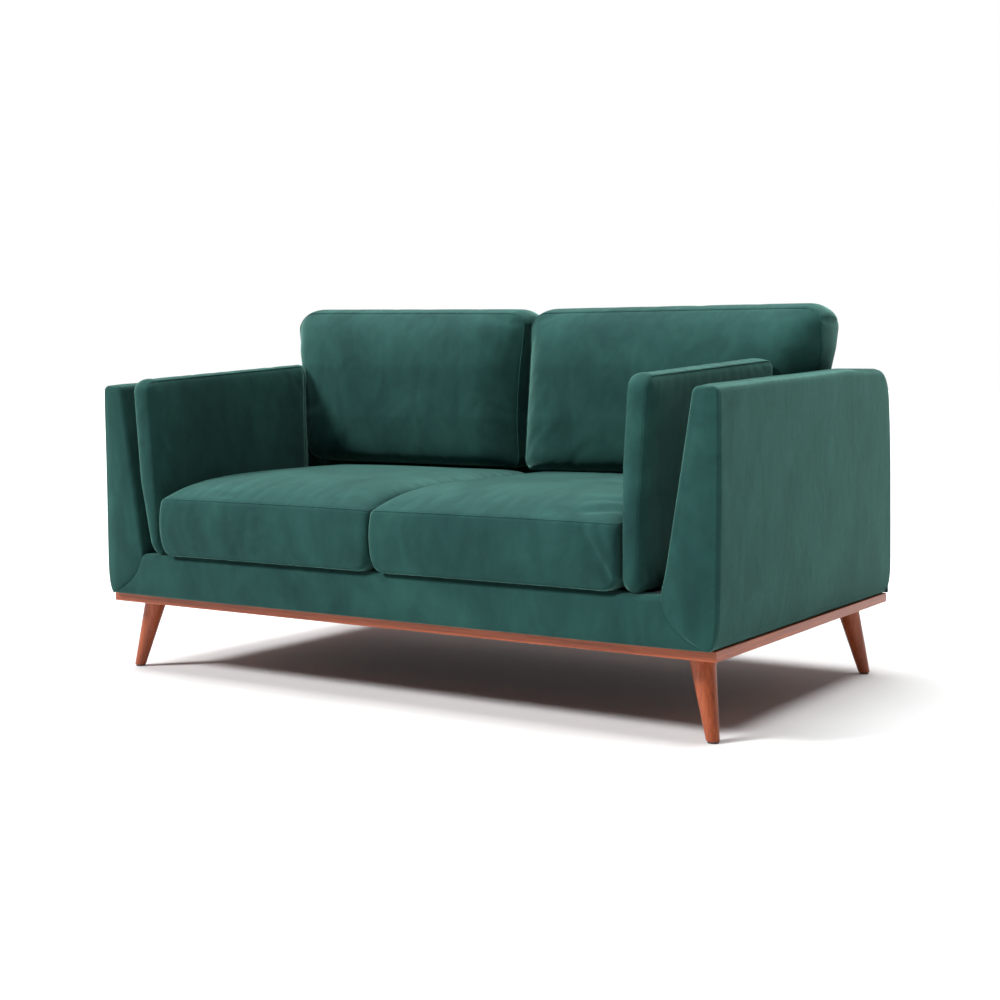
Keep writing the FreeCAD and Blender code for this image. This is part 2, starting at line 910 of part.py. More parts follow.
def back_frame():
    """Raked posts on the spring rail carry the top rail. A rear rail holds the outside panel."""
    posts = (("left", "-back_post_x"), ("centre", "0"), ("right", "back_post_x"))
    for hand, x in posts:
        post = prism(
            f"back_post_{hand}",
            "YZ_Plane",
            [
                (raked("frame_top", "back_foam"), "frame_top"),
                (raked("frame_top", "back_foam + back_post_depth"), "frame_top"),
                (raked("back_rail_low", "back_foam + back_post_depth"), "back_rail_low"),
                (raked("back_rail_low", "back_foam"), "back_rail_low"),
            ],
            "2 * back_post_half",
            f"{x} - back_post_half",
        )
        node(f"back_post_{hand}", post)
    rail_y = ("back_rail_front", "back_rail_front + back_rail_depth")
    heights = ("back_rail_low", "back_rail_high")
    across = ("-arm_inner_mid - arm_round", "arm_inner_mid + arm_round")
    node("back_top_rail", box("back_top_rail", across, rail_y, heights))
    rear_y = ("rear_top_rail_front", "rear_top_rail_front + frame_rail_thick")
    node("back_rear_rail", box("back_rear_rail", across, rear_y, heights))
    straps = []
    places = [f"{side} * ({step} * web_spacing + 105)" for _, side in SIDES for step in (0, 1, 2)]
    for index, x in enumerate(places):
        straps.append(
            prism(
                f"strap_{index}",
                "YZ_Plane",
                [
                    (raked("clip_top", "back_foam"), "clip_top"),
                    (raked("clip_top", "back_foam + web_thick"), "clip_top"),
                    (raked("back_rail_low", "back_foam + web_thick"), "back_rail_low"),
                    (raked("back_rail_low", "back_foam"), "back_rail_low"),
                ],
                "web_width",
                f"{x} - web_width / 2",
            )
        )
    node("back_webbing", group("back_webbing", straps))


# ---------------------------------------------------------------- loose cushions
def seat_section(side, rim, crown, inset):
    """A seat cushion from the front: level base with cut corners, upright sides, arched top."""
    outer = f"seat_outer_{HANDS[side]}"
    near, far = f"seat_inner + {inset}", f"{outer} - {inset}"
    low = f"seat_low + {inset}"
    return mirrored(
        side,
        [
            (f"{near} + seat_corner", low),
            (f"{far} - seat_corner", low),
            (far, f"{low} + seat_corner"),
            (far, f"{rim} - {inset}"),
            (f"(seat_inner + {outer}) / 2", f"{crown} - {inset}", "via"),
            (near, f"{rim} - {inset}"),
            (near, f"{low} + seat_corner"),
        ],
    )


# A seat cushion from front to rear: distance from the front, height of the side seam, height of the crown.
SEAT_FRONT = (0, 380, 392)
SEAT_STATIONS = (
    (30, 392, 416),
    (120, 404, 438),
    (300, 418, 452),
    (440, 428, 451),
    (530, 430, 444.5),
)
SEAT_REAR = (426, 438)


def seat_shape(name, side, inset):
    """The top rises from the front seam to a crown and falls a little under the back cushion."""
    reach, *front = SEAT_FRONT
    places = [(f"-half_depth + {reach} + {inset}", *front)]
    places += [(f"-half_depth + {reach}", rim, crown) for reach, rim, crown in SEAT_STATIONS]
    places.append((f"seat_rear - {inset}", *SEAT_REAR))
    sections = [(f"-({y})", seat_section(side, rim, crown, inset)) for y, rim, crown in places]
    return loft(name, "XZ_Plane", sections)


def back_cushion_section(side, outer, rear, seam, bulge, crown, middle_seam, inset):
    """A back cushion from above: straight rear and sides, and a front that swells forward."""
    inner = f"back_inner_{HANDS[side]}"
    return mirrored(
        side,
        [
            (f"{inner} + {inset}", f"{rear} - {inset}"),
            (f"{outer} - {inset}", f"{rear} - {inset}"),
            (f"{outer} - {inset}", f"{seam} + {inset}"),
            (f"570 - {inset}", f"{bulge} + {inset}"),
            ("330", f"{crown} + {inset}", "via"),
            (f"80 + {inset}", f"{bulge} + {inset}"),
            (f"{inner} + {inset}", f"{middle_seam} + {inset}"),
        ],
    )


# A back cushion from above at each level: its outer edge and rear, the seam at its outer side,
# the shoulders and crown of its front, and the seam beside the other cushion.
BACK_CUSHION_BASE = (660, 222, 175, 88, 80, 140)
BACK_CUSHION_LEVELS = (
    (560, 682, 247, 188, 92, 80, 146),
    (680, 698, 273, 188, 104, 94, 160),
    (715, 702, 279, 178, 112, 102, 165),
    (770, 702, 286, 174, 130, 122, 168),
)
BACK_CUSHION_TOP = (694, 288, 190, 170, 162, 182)


def back_cushion_shape(name, side, inset):
    levels = [(f"cushion_low + {inset}", BACK_CUSHION_BASE)]
    levels += [(str(height), plan) for height, *plan in BACK_CUSHION_LEVELS]
    levels.append((f"cushion_high - {inset}", BACK_CUSHION_TOP))
    sections = [
        (height, back_cushion_section(side, *plan, inset)) for height, plan in levels
    ]
    return loft(name, "XY_Plane", sections)


def pad_section(side, top, inset):
    """An arm pad from the front: a slim slab with a round top, which leans out towards the arm."""
    hand = HANDS[side]
    near, far = f"pad_inner_{hand} + {inset}", f"pad_outer_{hand} - {inset}"
    return mirrored(
        side,
        [
            (f"{near} + 6", f"pad_low + {inset}"),
            (f"{far} - 12", f"pad_low + {inset}"),
            (far, f"pad_low + 20 + {inset}"),
            (f"{far} + pad_belly_{hand}", "430"),
            (f"{far} + pad_lean_{hand}", f"{top} - 20"),
            (f"{near} + pad_ridge_{hand} - {inset}", f"{top} - {inset}", "via"),
            (f"{near} + pad_tuck_high_{hand}", f"{top} - 25"),
            (f"{near} + pad_tuck_mid_{hand}", "500"),
            (f"{near} + pad_tuck_low_{hand}", "400"),
            (near, f"pad_low + 8 + {inset}"),
        ],
    )


def pad_shape(name, side, inset):
    """The pad's top rises to the rear, and its rear end is cut on a slant to meet the back cushion."""
    hand = HANDS[side]
    slab = loft(
        f"{name}_slab",
        "XZ_Plane",
        [
            (f"-(pad_front + {inset})", pad_section(side, f"pad_top_front_{hand}", inset)),
            ("-pad_rear", pad_section(side, f"pad_top_rear_{hand}", inset)),
        ],
    )
    wedge = document.addObject("Part::Box", f"{name}_wedge")
    bind(wedge, "Length", "pad_wedge")
    bind(wedge, "Width", "pad_wedge")
    bind(wedge, "Height", "pad_wedge_height")
    turn = Rotation(Vector(0, 0, 1), side * number("pad_bevel_angle"))
    wedge.Placement.Rotation = turn
    start = turn.multVec(Vector(-number("pad_wedge") / 2, 0, 0))
    bind(wedge, "Placement.Base.x", f"{side} * pad_bevel_x + {start.x:.4f}")
    bind(wedge, "Placement.Base.y", f"pad_bevel_y - {inset} + {start.y:.4f}")
    bind(wedge, "Placement.Base.z", "pad_low - 50")
    return cut(name, slab, wedge)


def cushions():
    """Each cushion is a closed cover over a foam core."""
    kinds = (
        ("seat_cushion", seat_shape),
        ("back_cushion", back_cushion_shape),
        ("arm_pad", pad_shape),
    )
    for hand, side in SIDES:
        for kind, shape in kinds:
            outer = shape(f"{kind}_outer_{hand}", side, "0")
            core = node(f"{kind}_core_{hand}", shape(f"{kind}_core_{hand}", side, "skin"))
            node(f"{kind}_cover_{hand}", cut(f"{kind}_cover_{hand}", outer, core))


# ---------------------------------------------------------------- build, check and write
def build():
    bolts = leg_bolts()
    nut_blanks = leg_nuts(bolts)
    glides = foot_glides()
    screws = base_screws()
    leg_holes = fuse("leg_holes", [bolts, glides])
    for name, side, end in LEGS:
        leg(name, side, end, leg_holes)
    fastener_holes = fuse("fastener_holes", [bolts, nut_blanks, screws])
    base_rails(fastener_holes)
    seat_frame(screws)
    corner_blocks(fastener_holes)
    spring_clips(seat_springs())
    arms_outer = arms()
    front_strip(arms_outer)
    back_padding(arms_outer)
    backing = fuse("backing", [NODES["back_cover"], NODES["back_foam"]])
    deck(arms_outer, backing)
    dust_cover()
    back_frame()
    outside_back()
    cushions()
    document.recompute()


def check():
    for target in document.Objects:
        if "Invalid" in target.State or "Error" in target.State:
            raise RuntimeError(f"{target.Name}: {target.State}")
    for name, target in NODES.items():
        shape = target.Shape
        if shape.isNull() or not shape.isValid() or not shape.Solids:
            raise RuntimeError(f"{name}: its shape is null, open or invalid")


def write():
    os.makedirs("parts", exist_ok=True)
    for name, target in NODES.items():
        target.Shape.exportStep(f"parts/{name}.step")
    print(f"{len(NODES)} sub-parts written")


build()
check()
write()
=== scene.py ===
"""The looks of a two-seat velvet sofa with a wooden base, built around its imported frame. Metres."""

import math

import bmesh
import bpy
import numpy as np
from mathutils import Matrix, Vector, noise


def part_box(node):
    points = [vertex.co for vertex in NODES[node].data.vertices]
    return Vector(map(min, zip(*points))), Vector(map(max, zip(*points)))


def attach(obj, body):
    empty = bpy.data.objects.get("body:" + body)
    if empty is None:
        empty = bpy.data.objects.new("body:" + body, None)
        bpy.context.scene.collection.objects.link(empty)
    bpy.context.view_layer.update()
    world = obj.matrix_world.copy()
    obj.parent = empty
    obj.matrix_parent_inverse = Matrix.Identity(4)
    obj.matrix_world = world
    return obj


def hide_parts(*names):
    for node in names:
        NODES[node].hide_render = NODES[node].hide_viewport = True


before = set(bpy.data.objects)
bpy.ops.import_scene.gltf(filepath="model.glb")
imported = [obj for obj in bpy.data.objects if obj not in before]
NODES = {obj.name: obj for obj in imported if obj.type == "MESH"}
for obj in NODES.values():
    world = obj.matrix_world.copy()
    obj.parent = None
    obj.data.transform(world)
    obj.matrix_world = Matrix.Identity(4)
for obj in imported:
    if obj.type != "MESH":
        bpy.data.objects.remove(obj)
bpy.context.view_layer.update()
SIDES = (("left", -1), ("right", 1))


# ---------------------------------------------------------------- materials
def blank(name):
    """A new material with a Principled shader. Returns the material, its tree and the shader."""
    made = bpy.data.materials.new(name)
    made.use_nodes = True
    tree = made.node_tree
    tree.nodes.clear()
    out = tree.nodes.new("ShaderNodeOutputMaterial")
    shader = tree.nodes.new("ShaderNodeBsdfPrincipled")
    tree.links.new(shader.outputs["BSDF"], out.inputs["Surface"])
    return made, tree, shader


def add(tree, kind, inputs=(), **settings):
    """A node with its settings and inputs. An input that is a socket is linked, and any other is a value."""
    made = tree.nodes.new("ShaderNode" + kind)
    for key, value in settings.items():
        setattr(made, key, value)
    for key, value in dict(inputs).items():
        if isinstance(value, bpy.types.NodeSocket):
            tree.links.new(value, made.inputs[key])
        else:
            made.inputs[key].default_value = value
    return made


def place(tree, scale=(1, 1, 1)):
    """Places in the frame, in metres, stretched by a scale."""
    where = add(tree, "TexCoord")
    return add(tree, "Mapping", {"Vector": where.outputs["Object"], "Scale": scale}).outputs["Vector"]


def speckle(tree, scale, stretch=(1, 1, 1), detail=2.0, distortion=0.0, roughness=0.5):
    """Noise of 0 to 1, of a scale per metre."""
    inputs = {
        "Vector": place(tree, stretch),
        "Scale": scale,
        "Detail": detail,
        "Distortion": distortion,
        "Roughness": roughness,
    }
    return add(tree, "TexNoise", inputs).outputs["Fac"]


def ramp(tree, factor, stops):
    """Colours along a factor, from (place, colour) pairs."""
    made = add(tree, "ValToRGB", {"Fac": factor})
    elements = made.color_ramp.elements
    while len(elements) < len(stops):
        elements.new(0.5)
    for element, (where, colour) in zip(elements, stops):
        element.position = where
        element.color = (*colour, 1)
    return made.outputs["Color"]


def mixed(tree, factor, one, two, blend="MIX"):
    """Two colours, each a socket or a value, mixed by a factor."""
    made = add(tree, "Mix", data_type="RGBA", blend_type=blend)
    for key, value in ((0, factor), (6, one), (7, two)):
        if isinstance(value, bpy.types.NodeSocket):
            tree.links.new(value, made.inputs[key])
        else:
            made.inputs[key].default_value = value if key == 0 else (*value, 1)
    return made.outputs[2]


def scaled(tree, value, low, high):
    """A factor of 0 to 1 turned into a number from low to high."""
    return add(tree, "MapRange", {"Value": value, "To Min": low, "To Max": high}).outputs["Result"]


def bumped(tree, shader, layers):
    """Bumps on the shader: (height socket, strength, distance in metres)."""
    normal = None
    for height, strength, distance in layers:
        inputs = {"Height": height, "Strength": strength, "Distance": distance}
        if normal:
            inputs["Normal"] = normal
        normal = add(tree, "Bump", inputs).outputs["Normal"]
    tree.links.new(normal, shader.inputs["Normal"])


def velvet():
    """Short dense pile: a dark ground, patches where the nap lies another way, and a bright sheen."""
    made, tree, shader = blank("velvet")
    patches = speckle(tree, 5.5, (1, 1, 0.7), 4.0, 0.9, 0.55)
    strokes = speckle(tree, 17, (1, 1, 0.5), 3.0, 1.2)
    pile = speckle(tree, 1150, detail=1.0)
    crush = speckle(tree, 60, detail=3.0, distortion=0.4)
    ground = ramp(tree, patches, [(0.34, (0.0095, 0.0385, 0.0355)), (0.66, (0.0160, 0.0600, 0.0530))])
    brushed = ramp(tree, strokes, [(0.35, (0.86, 0.87, 0.88)), (0.68, (1.12, 1.11, 1.1))])
    tips = ramp(tree, pile, [(0.30, (0.72, 0.74, 0.74)), (0.72, (1.22, 1.2, 1.18))])
    colour = mixed(tree, 1.0, ground, brushed, "MULTIPLY")
    colour = mixed(tree, 0.6, colour, tips, "MULTIPLY")
    tree.links.new(colour, shader.inputs["Base Color"])
    tree.links.new(scaled(tree, crush, 0.72, 0.98), shader.inputs["Roughness"])
    shader.inputs["Specular IOR Level"].default_value = 0.08
    shader.inputs["Sheen Weight"].default_value = 0.50
    shader.inputs["Sheen Roughness"].default_value = 0.34
    shader.inputs["Sheen Tint"].default_value = (0.40, 0.84, 0.72, 1)
    bumped(tree, shader, [(crush, 0.22, 0.0012), (strokes, 0.12, 0.003), (pile, 0.35, 0.0004)])
    return made


def wood(name, along):
    """Reddish brown stain under satin lacquer, with its grain along one axis."""
    made, tree, shader = blank(name)
    run = [1.0, 1.0, 1.0]
    run[along] = 0.045
    fine = [1.0, 1.0, 1.0]
    fine[along] = 0.02
    bands = speckle(tree, 34, run, 4.0, 0.9, 0.6)
    fibres = speckle(tree, 330, fine, 3.0, 0.2, 0.6)
    pores = speckle(tree, 1500, fine, 1.0)
    shade = speckle(tree, 3.0, run, 2.0)
    stops = [
        (0.28, (0.130, 0.026, 0.009)),
        (0.47, (0.285, 0.062, 0.021)),
        (0.60, (0.370, 0.088, 0.030)),
        (0.78, (0.455, 0.120, 0.044)),
    ]
    colour = mixed(tree, 0.55, ramp(tree, bands, stops), ramp(tree, fibres, stops))
    dark = ramp(tree, pores, [(0.30, (0.62, 0.55, 0.5)), (0.43, (1, 1, 1))])
    colour = mixed(tree, 0.75, colour, dark, "MULTIPLY")
    tone = ramp(tree, shade, [(0.35, (0.84, 0.82, 0.8)), (0.65, (1.1, 1.08, 1.06))])
    colour = mixed(tree, 1.0, colour, tone, "MULTIPLY")
    tree.links.new(colour, shader.inputs["Base Color"])
    tree.links.new(scaled(tree, fibres, 0.30, 0.46), shader.inputs["Roughness"])
    shader.inputs["Specular IOR Level"].default_value = 0.3
    shader.inputs["Coat Weight"].default_value = 0.10
    shader.inputs["Coat Roughness"].default_value = 0.16
    bumped(tree, shader, [(fibres, 0.18, 0.0005), (pores, 0.2, 0.0002)])
    return made


def raw_wood(name, along, light, dark, grain=210):
    """Unfinished timber or ply of the hidden frame."""
    made, tree, shader = blank(name)
    run = [1.0, 1.0, 1.0]
    run[along] = 0.05
    bands = speckle(tree, 28, run, 3.0, 1.0)
    fibres = speckle(tree, grain, run, 3.0)
    colour = ramp(tree, bands, [(0.3, dark), (0.7, light)])
    tone = ramp(tree, fibres, [(0.3, (0.82, 0.8, 0.78)), (0.7, (1.06, 1.06, 1.05))])
    tree.links.new(mixed(tree, 1.0, colour, tone, "MULTIPLY"), shader.inputs["Base Color"])
    tree.links.new(scaled(tree, fibres, 0.6, 0.85), shader.inputs["Roughness"])
    bumped(tree, shader, [(fibres, 0.3, 0.0006)])
    return made


def metal(name, colour, rough):
    """Plated steel with fine scratches."""
    made, tree, shader = blank(name)
    scratches = speckle(tree, 420, (1, 1, 0.2), 3.0)
    stains = speckle(tree, 45, detail=3.0)
    tone = ramp(tree, stains, [(0.35, [c * 0.8 for c in colour]), (0.65, colour)])
    tree.links.new(tone, shader.inputs["Base Color"])
    tree.links.new(scaled(tree, scratches, rough, rough + 0.22), shader.inputs["Roughness"])
    shader.inputs["Metallic"].default_value = 1.0
    bumped(tree, shader, [(scratches, 0.15, 0.0002)])
    return made


def woven(name, light, dark, pitch, rough=0.85):
    """Plain weave or spun cloth: crossed threads of a pitch in metres."""
    made, tree, shader = blank(name)
    turns = 2 * math.pi / pitch / 20
    threads = []
    for axis in ("X", "Y"):
        inputs = {"Vector": place(tree), "Scale": turns, "Distortion": 0.6, "Detail": 1.0}
        threads.append(add(tree, "TexWave", inputs, bands_direction=axis).outputs["Fac"])
    both = add(tree, "Math", {0: threads[0], 1: threads[1]}, operation="MULTIPLY").outputs[0]
    fuzz = speckle(tree, 260, detail=3.0)
    crossed = ramp(tree, both, [(0.1, dark), (0.8, light)])
    colour = mixed(tree, 0.5, crossed, ramp(tree, fuzz, [(0.3, dark), (0.7, light)]))
    tree.links.new(colour, shader.inputs["Base Color"])
    tree.links.new(scaled(tree, fuzz, rough - 0.1, rough), shader.inputs["Roughness"])
    bumped(tree, shader, [(both, 0.4, 0.0004), (fuzz, 0.2, 0.0003)])
    return made


def plastic(name, colour):
    """Moulded plastic with a fine grain."""
    made, tree, shader = blank(name)
    grain = speckle(tree, 700, detail=2.0)
    tone = ramp(tree, grain, [(0.3, [c * 0.85 for c in colour]), (0.7, colour)])
    tree.links.new(tone, shader.inputs["Base Color"])
    tree.links.new(scaled(tree, grain, 0.4, 0.55), shader.inputs["Roughness"])
    bumped(tree, shader, [(grain, 0.2, 0.0002)])
    return made


VELVET = velvet()
WOOD_X, WOOD_Y, WOOD_Z = (wood(f"finished_wood_{axis}", i) for i, axis in enumerate("xyz"))
PINE = ((0.62, 0.43, 0.24), (0.47, 0.29, 0.14))
TIMBER = [raw_wood(f"frame_timber_{axis}", i, *PINE) for i, axis in enumerate("xyz")]
PLY = raw_wood("plywood", 2, (0.55, 0.38, 0.21), (0.40, 0.25, 0.12), 90)
STEEL = metal("zinc_steel", (0.62, 0.63, 0.64), 0.28)
DECKING = woven("deck_cloth", (0.045, 0.048, 0.05), (0.018, 0.02, 0.022), 0.0012)
DUST = woven("dust_cloth", (0.022, 0.022, 0.023), (0.008, 0.008, 0.009), 0.0016, 0.95)
WEBBING = woven("webbing", (0.42, 0.36, 0.25), (0.2, 0.16, 0.1), 0.003)
NYLON = plastic("nylon", (0.035, 0.033, 0.03))

FINISHES = {
    "base_rail_front": WOOD_X,
    "base_rail_rear": WOOD_X,
    "base_rail_left": WOOD_Y,
    "base_rail_right": WOOD_Y,
    "leg_": WOOD_Z,
    "foot_glides": NYLON,
    "leg_bolts": STEEL,
    "leg_nuts": STEEL,
    "base_screws": STEEL,
    "seat_springs": STEEL,
    "spring_clips": NYLON,
    "frame_rail_front": TIMBER[0],
    "frame_rail_rear": TIMBER[0],
    "frame_rail_spring": TIMBER[0],
    "frame_rail_": TIMBER[1],
    "frame_corner_blocks": TIMBER[2],
    "arm_side_panel": PLY,
    "arm_top_rail": TIMBER[1],
    "arm_": TIMBER[2],
    "back_top_rail": TIMBER[0],
    "back_rear_rail": TIMBER[0],
    "back_post_": TIMBER[2],
    "back_webbing": WEBBING,
}


def finish_frame():
    """Each CAD node that stays gets its own finish: the longest key that its name starts with."""
    for name, shown in NODES.items():
        keys = [key for key in FINISHES if name.startswith(key)]
        if not keys:
            continue
        shown.data.materials.clear()
        shown.data.materials.append(FINISHES[max(keys, key=len)])


# ---------------------------------------------------------------- meshes
def piece(name, verts, faces, material, slot="velvet", body="root", merge=True):
    """A smooth mesh that rides on a body."""
    mesh = bpy.data.meshes.new(name)
    mesh.from_pydata([tuple(map(float, v)) for v in verts], [], faces)
    work = bmesh.new()
    work.from_mesh(mesh)
    if merge:
        bmesh.ops.remove_doubles(work, verts=work.verts, dist=2e-5)
        bmesh.ops.dissolve_degenerate(work, edges=work.edges, dist=1e-6)
    bmesh.ops.recalc_face_normals(work, faces=work.faces)
    work.to_mesh(mesh)
    work.free()
    mesh.polygons.foreach_set("use_smooth", [True] * len(mesh.polygons))
    mesh.materials.append(material)
    made = bpy.data.objects.new(name, mesh)
    bpy.context.scene.collection.objects.link(made)
    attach(made, body)
    return made


def lattice(grid, start=0, wrap=False):
    """The faces of a grid of points, given as [rows, columns, 3]."""
    rows, columns = grid.shape[:2]
    across = range(columns if wrap else columns - 1)
    return [
        (
            start + r * columns + c,
            start + r * columns + (c + 1) % columns,
            start + (r + 1) * columns + (c + 1) % columns,
            start + (r + 1) * columns + c,
        )
        for r in range(rows - 1)
        for c in across
    ]


def joined(grids):
    """One list of points and faces from several (grid, wrap) pairs."""
    verts, faces = [], []
    for grid, wrap in grids:
        grid = np.asarray(grid, float)
        faces += lattice(grid, len(verts), wrap)
        verts += list(grid.reshape(-1, 3))
    return verts, faces


def ease(x, length):
    """0 at an edge, rising to 1 within a few lengths."""
    return 1 - np.exp(-np.maximum(x, 0) / length)


def ripple(point, size, seed):
    """Smooth noise of about -1 to 1 at a point."""
    return noise.noise(Vector(point) / size + Vector((seed, seed * 1.7, -seed)))


def undulate(verts, size, height, seed):
    """Moves points by smooth noise, as cloth over foam is never quite flat."""
    return [
        np.asarray(v) + height * np.array([ripple(v, size, seed + k * 9.1) for k in range(3)])
        for v in verts
    ]


def subdivide(made):
    """One level of smoothing."""
    smooth = made.modifiers.new("smooth", "SUBSURF")
    smooth.levels = smooth.render_levels = 1


def thicken(made, thickness):
    """A wall behind the surface."""
    wall = made.modifiers.new("wall", "SOLIDIFY")
    wall.thickness = thickness
    wall.offset = -1


def tube(name, path, radius, body, sides=8):
    """A closed velvet cord along a loop of points."""
    path = np.asarray(path, float)
    tangents = np.roll(path, -1, 0) - np.roll(path, 1, 0)
    tangents /= np.maximum(np.linalg.norm(tangents, axis=1, keepdims=True), 1e-9)
    normal = np.cross(tangents[0], (0.3, 0.5, 0.8))
    rings = []
    for point, tangent in zip(path, tangents):
        normal = normal - tangent * np.dot(normal, tangent)
        normal /= np.linalg.norm(normal)
        other = np.cross(tangent, normal)
        angles = np.linspace(0, 2 * math.pi, sides, endpoint=False)
        rings.append([point + radius * (math.cos(a) * normal + math.sin(a) * other) for a in angles])
    rings = np.array(rings)
    faces = lattice(rings, 0, True)
    last = (len(rings) - 1) * sides
    misfits = [
        np.linalg.norm(rings[0] - np.roll(rings[-1], -turn, 0), axis=1).sum() for turn in range(sides)
    ]
    shift = int(np.argmin(misfits))
    faces += [
        (last + (i + shift) % sides, last + (i + 1 + shift) % sides, (i + 1) % sides, i)
        for i in range(sides)
    ]
    return piece(name, rings.reshape(-1, 3), faces, VELVET, body=body, merge=False)


# ---------------------------------------------------------------- arms
ARM_LOW, ARM_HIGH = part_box("arm_cover_right")
PANEL_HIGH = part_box("outside_back_panel")[1]
FRONT = ARM_LOW.y
BOTTOM = ARM_LOW.z
OUTER = ARM_HIGH.x
INNER_LOW = ARM_LOW.x
REAR = PANEL_HIGH.y
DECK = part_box("front_cover")[1].z
# The arm's top rises from the front to SLOPE_END, is level to ROUND_START, and rounds down to the lean point.
TOP_REAR = ARM_HIGH.z
TOP_FRONT = TOP_REAR - 0.029
SLOPE_END = 0.195
ROUND_START = 0.385
LEAN_Y, LEAN_Z = PANEL_HIGH.y - 0.029, PANEL_HIGH.z
# The foot of the arm is drawn in, the inner side leans outwards, and the top edges have a corner radius.
FOOT = OUTER - 0.017
INNER_SLOPE = 0.1558
CORNER = 0.014
FOOT_ROWS, SIDE_ROWS, ARC_ROWS, TOP_COLUMNS = 10, 26, 6, 12


def curve(start, control, end, count):
    """Points along a quadratic curve."""
    t = np.linspace(0, 1, count)[:, None]
    start, control, end = (np.array(p, float) for p in (start, control, end))
    return (1 - t) ** 2 * start + 2 * t * (1 - t) * control + t * t * end


def inner_x(z):
    """Half the width between the arms at a height above the deck."""
    return INNER_LOW + INNER_SLOPE * (z - DECK)


def foot_seam(count):
    """The curved seam between the arm and the front strip, as (x, z) points."""
    return curve((FOOT, BOTTOM), (INNER_LOW + 0.006, BOTTOM + 0.031), (INNER_LOW, DECK), count)


SEAM_FOOT = foot_seam(40)


def seam_x(z):
    """Half the width of the front strip at a height below the deck."""
    return np.interp(z, SEAM_FOOT[:, 1], SEAM_FOOT[:, 0])


def arm_sides(top):
    """The arm's outer and inner outlines from the foot up, as (x, z, outward x, outward z) rows."""
    foot_out = curve((FOOT, BOTTOM), (OUTER, BOTTOM + 0.001), (OUTER, BOTTOM + 0.066), FOOT_ROWS)
    foot_in = foot_seam(FOOT_ROWS)
    base = top - CORNER
    out_z = np.linspace(foot_out[-1, 1], base, SIDE_ROWS)[1:]
    in_z = np.linspace(DECK, base, SIDE_ROWS)[1:]
    outer = [(x, z, 1, 0) for x, z in foot_out] + [(OUTER, z, 1, 0) for z in out_z]
    inner = [(x, z, -1, 0) for x, z in foot_in] + [(inner_x(z), z, -1, 0) for z in in_z]
    for a in np.linspace(0, math.pi / 2, ARC_ROWS + 1)[1:]:
        c, s = math.cos(a), math.sin(a)
        outer.append((OUTER - CORNER + CORNER * c, base + CORNER * s, c, s))
        inner.append((inner_x(base) + CORNER - CORNER * c, base + CORNER * s, -c, s))
    return np.array(outer), np.array(inner)


def arm_ring(top, inset):
    """The closed outline of the arm, moved inwards: outer side up, across the top, inner side down."""
    outer, inner = arm_sides(top)
    room = np.clip(np.abs(outer[:, 0] - inner[:, 0]) / 0.05, 0, 1)[:, None]
    tight = sharpness(inner[:, 1])[:, None]
    outer = outer[:, :2] - 0.5 * inset * room * outer[:, 2:]
    inner = inner[:, :2] - inset * room * tight * inner[:, 2:]
    t = np.linspace(0, 1, TOP_COLUMNS + 1)[1:-1, None]
    across = outer[-1] * (1 - t) + inner[-1] * t
    return outer, across, inner


def sharpness(z):
    """The share of the front roll at an inner edge: little along the strip, all of it above the deck."""
    return np.interp(z, (DECK - 0.02, DECK + 0.05), (0.15, 1.0))


def arm_station(side, y_low, y_top, top, inset=0.0, swell=1.0, depth=0.0):
    """The ring in space: its foot is at y_low and its top at y_top, and the front roll adds a depth."""
    outer, across, inner = arm_ring(top, inset)
    points = []
    for which, part in (("outer", outer), ("top", across), ("inner", inner[::-1])):
        for x, z in part:
            back = depth * {"outer": 0.5, "top": 1.0, "inner": float(sharpness(z))}[which]
            h = (z - BOTTOM) / (top - BOTTOM)
            puff = 0.0
            if which == "outer":
                puff = 0.0030 * swell * (1 - abs(2 * h - 1) ** 2.6)
            if which == "top":
                z += 0.0015 * swell
            points.append((side * (x + puff), y_low + (y_top - y_low) * h + back, z))
    return points


# Depth behind the arm's front plane and inset of the outline, round the soft front edge.
EDGE_PROFILE = (
    (0.0000, 0.0150),
    (0.0004, 0.0112),
    (0.0016, 0.0076),
    (0.0036, 0.0046),
    (0.0064, 0.0022),
    (0.0098, 0.0008),
    (0.0122, 0.0010),
    (0.0140, 0.0013),
    (0.0158, 0.0008),
    (0.0185, 0.0000),
    (0.0240, 0.0000),
)


def side_stations():
    """(y at the foot, y at the top, top) from behind the front edge to the rear."""
    stretch = (REAR - FRONT) / (LEAN_Y - FRONT)
    found = []
    for y in np.linspace(FRONT + 0.04, ROUND_START, 30):
        share = min(1.0, (y - FRONT) / (SLOPE_END - FRONT))
        top = TOP_FRONT + (TOP_REAR - TOP_FRONT) * share
        found.append((y, top))
    for a in np.linspace(0, math.pi / 2, 9)[1:]:
        y = ROUND_START + (LEAN_Y - ROUND_START) * math.sin(a)
        found.append((y, LEAN_Z + (TOP_REAR - LEAN_Z) * math.cos(a)))
    return [(FRONT + (y - FRONT) * stretch, y, top) for y, top in found]


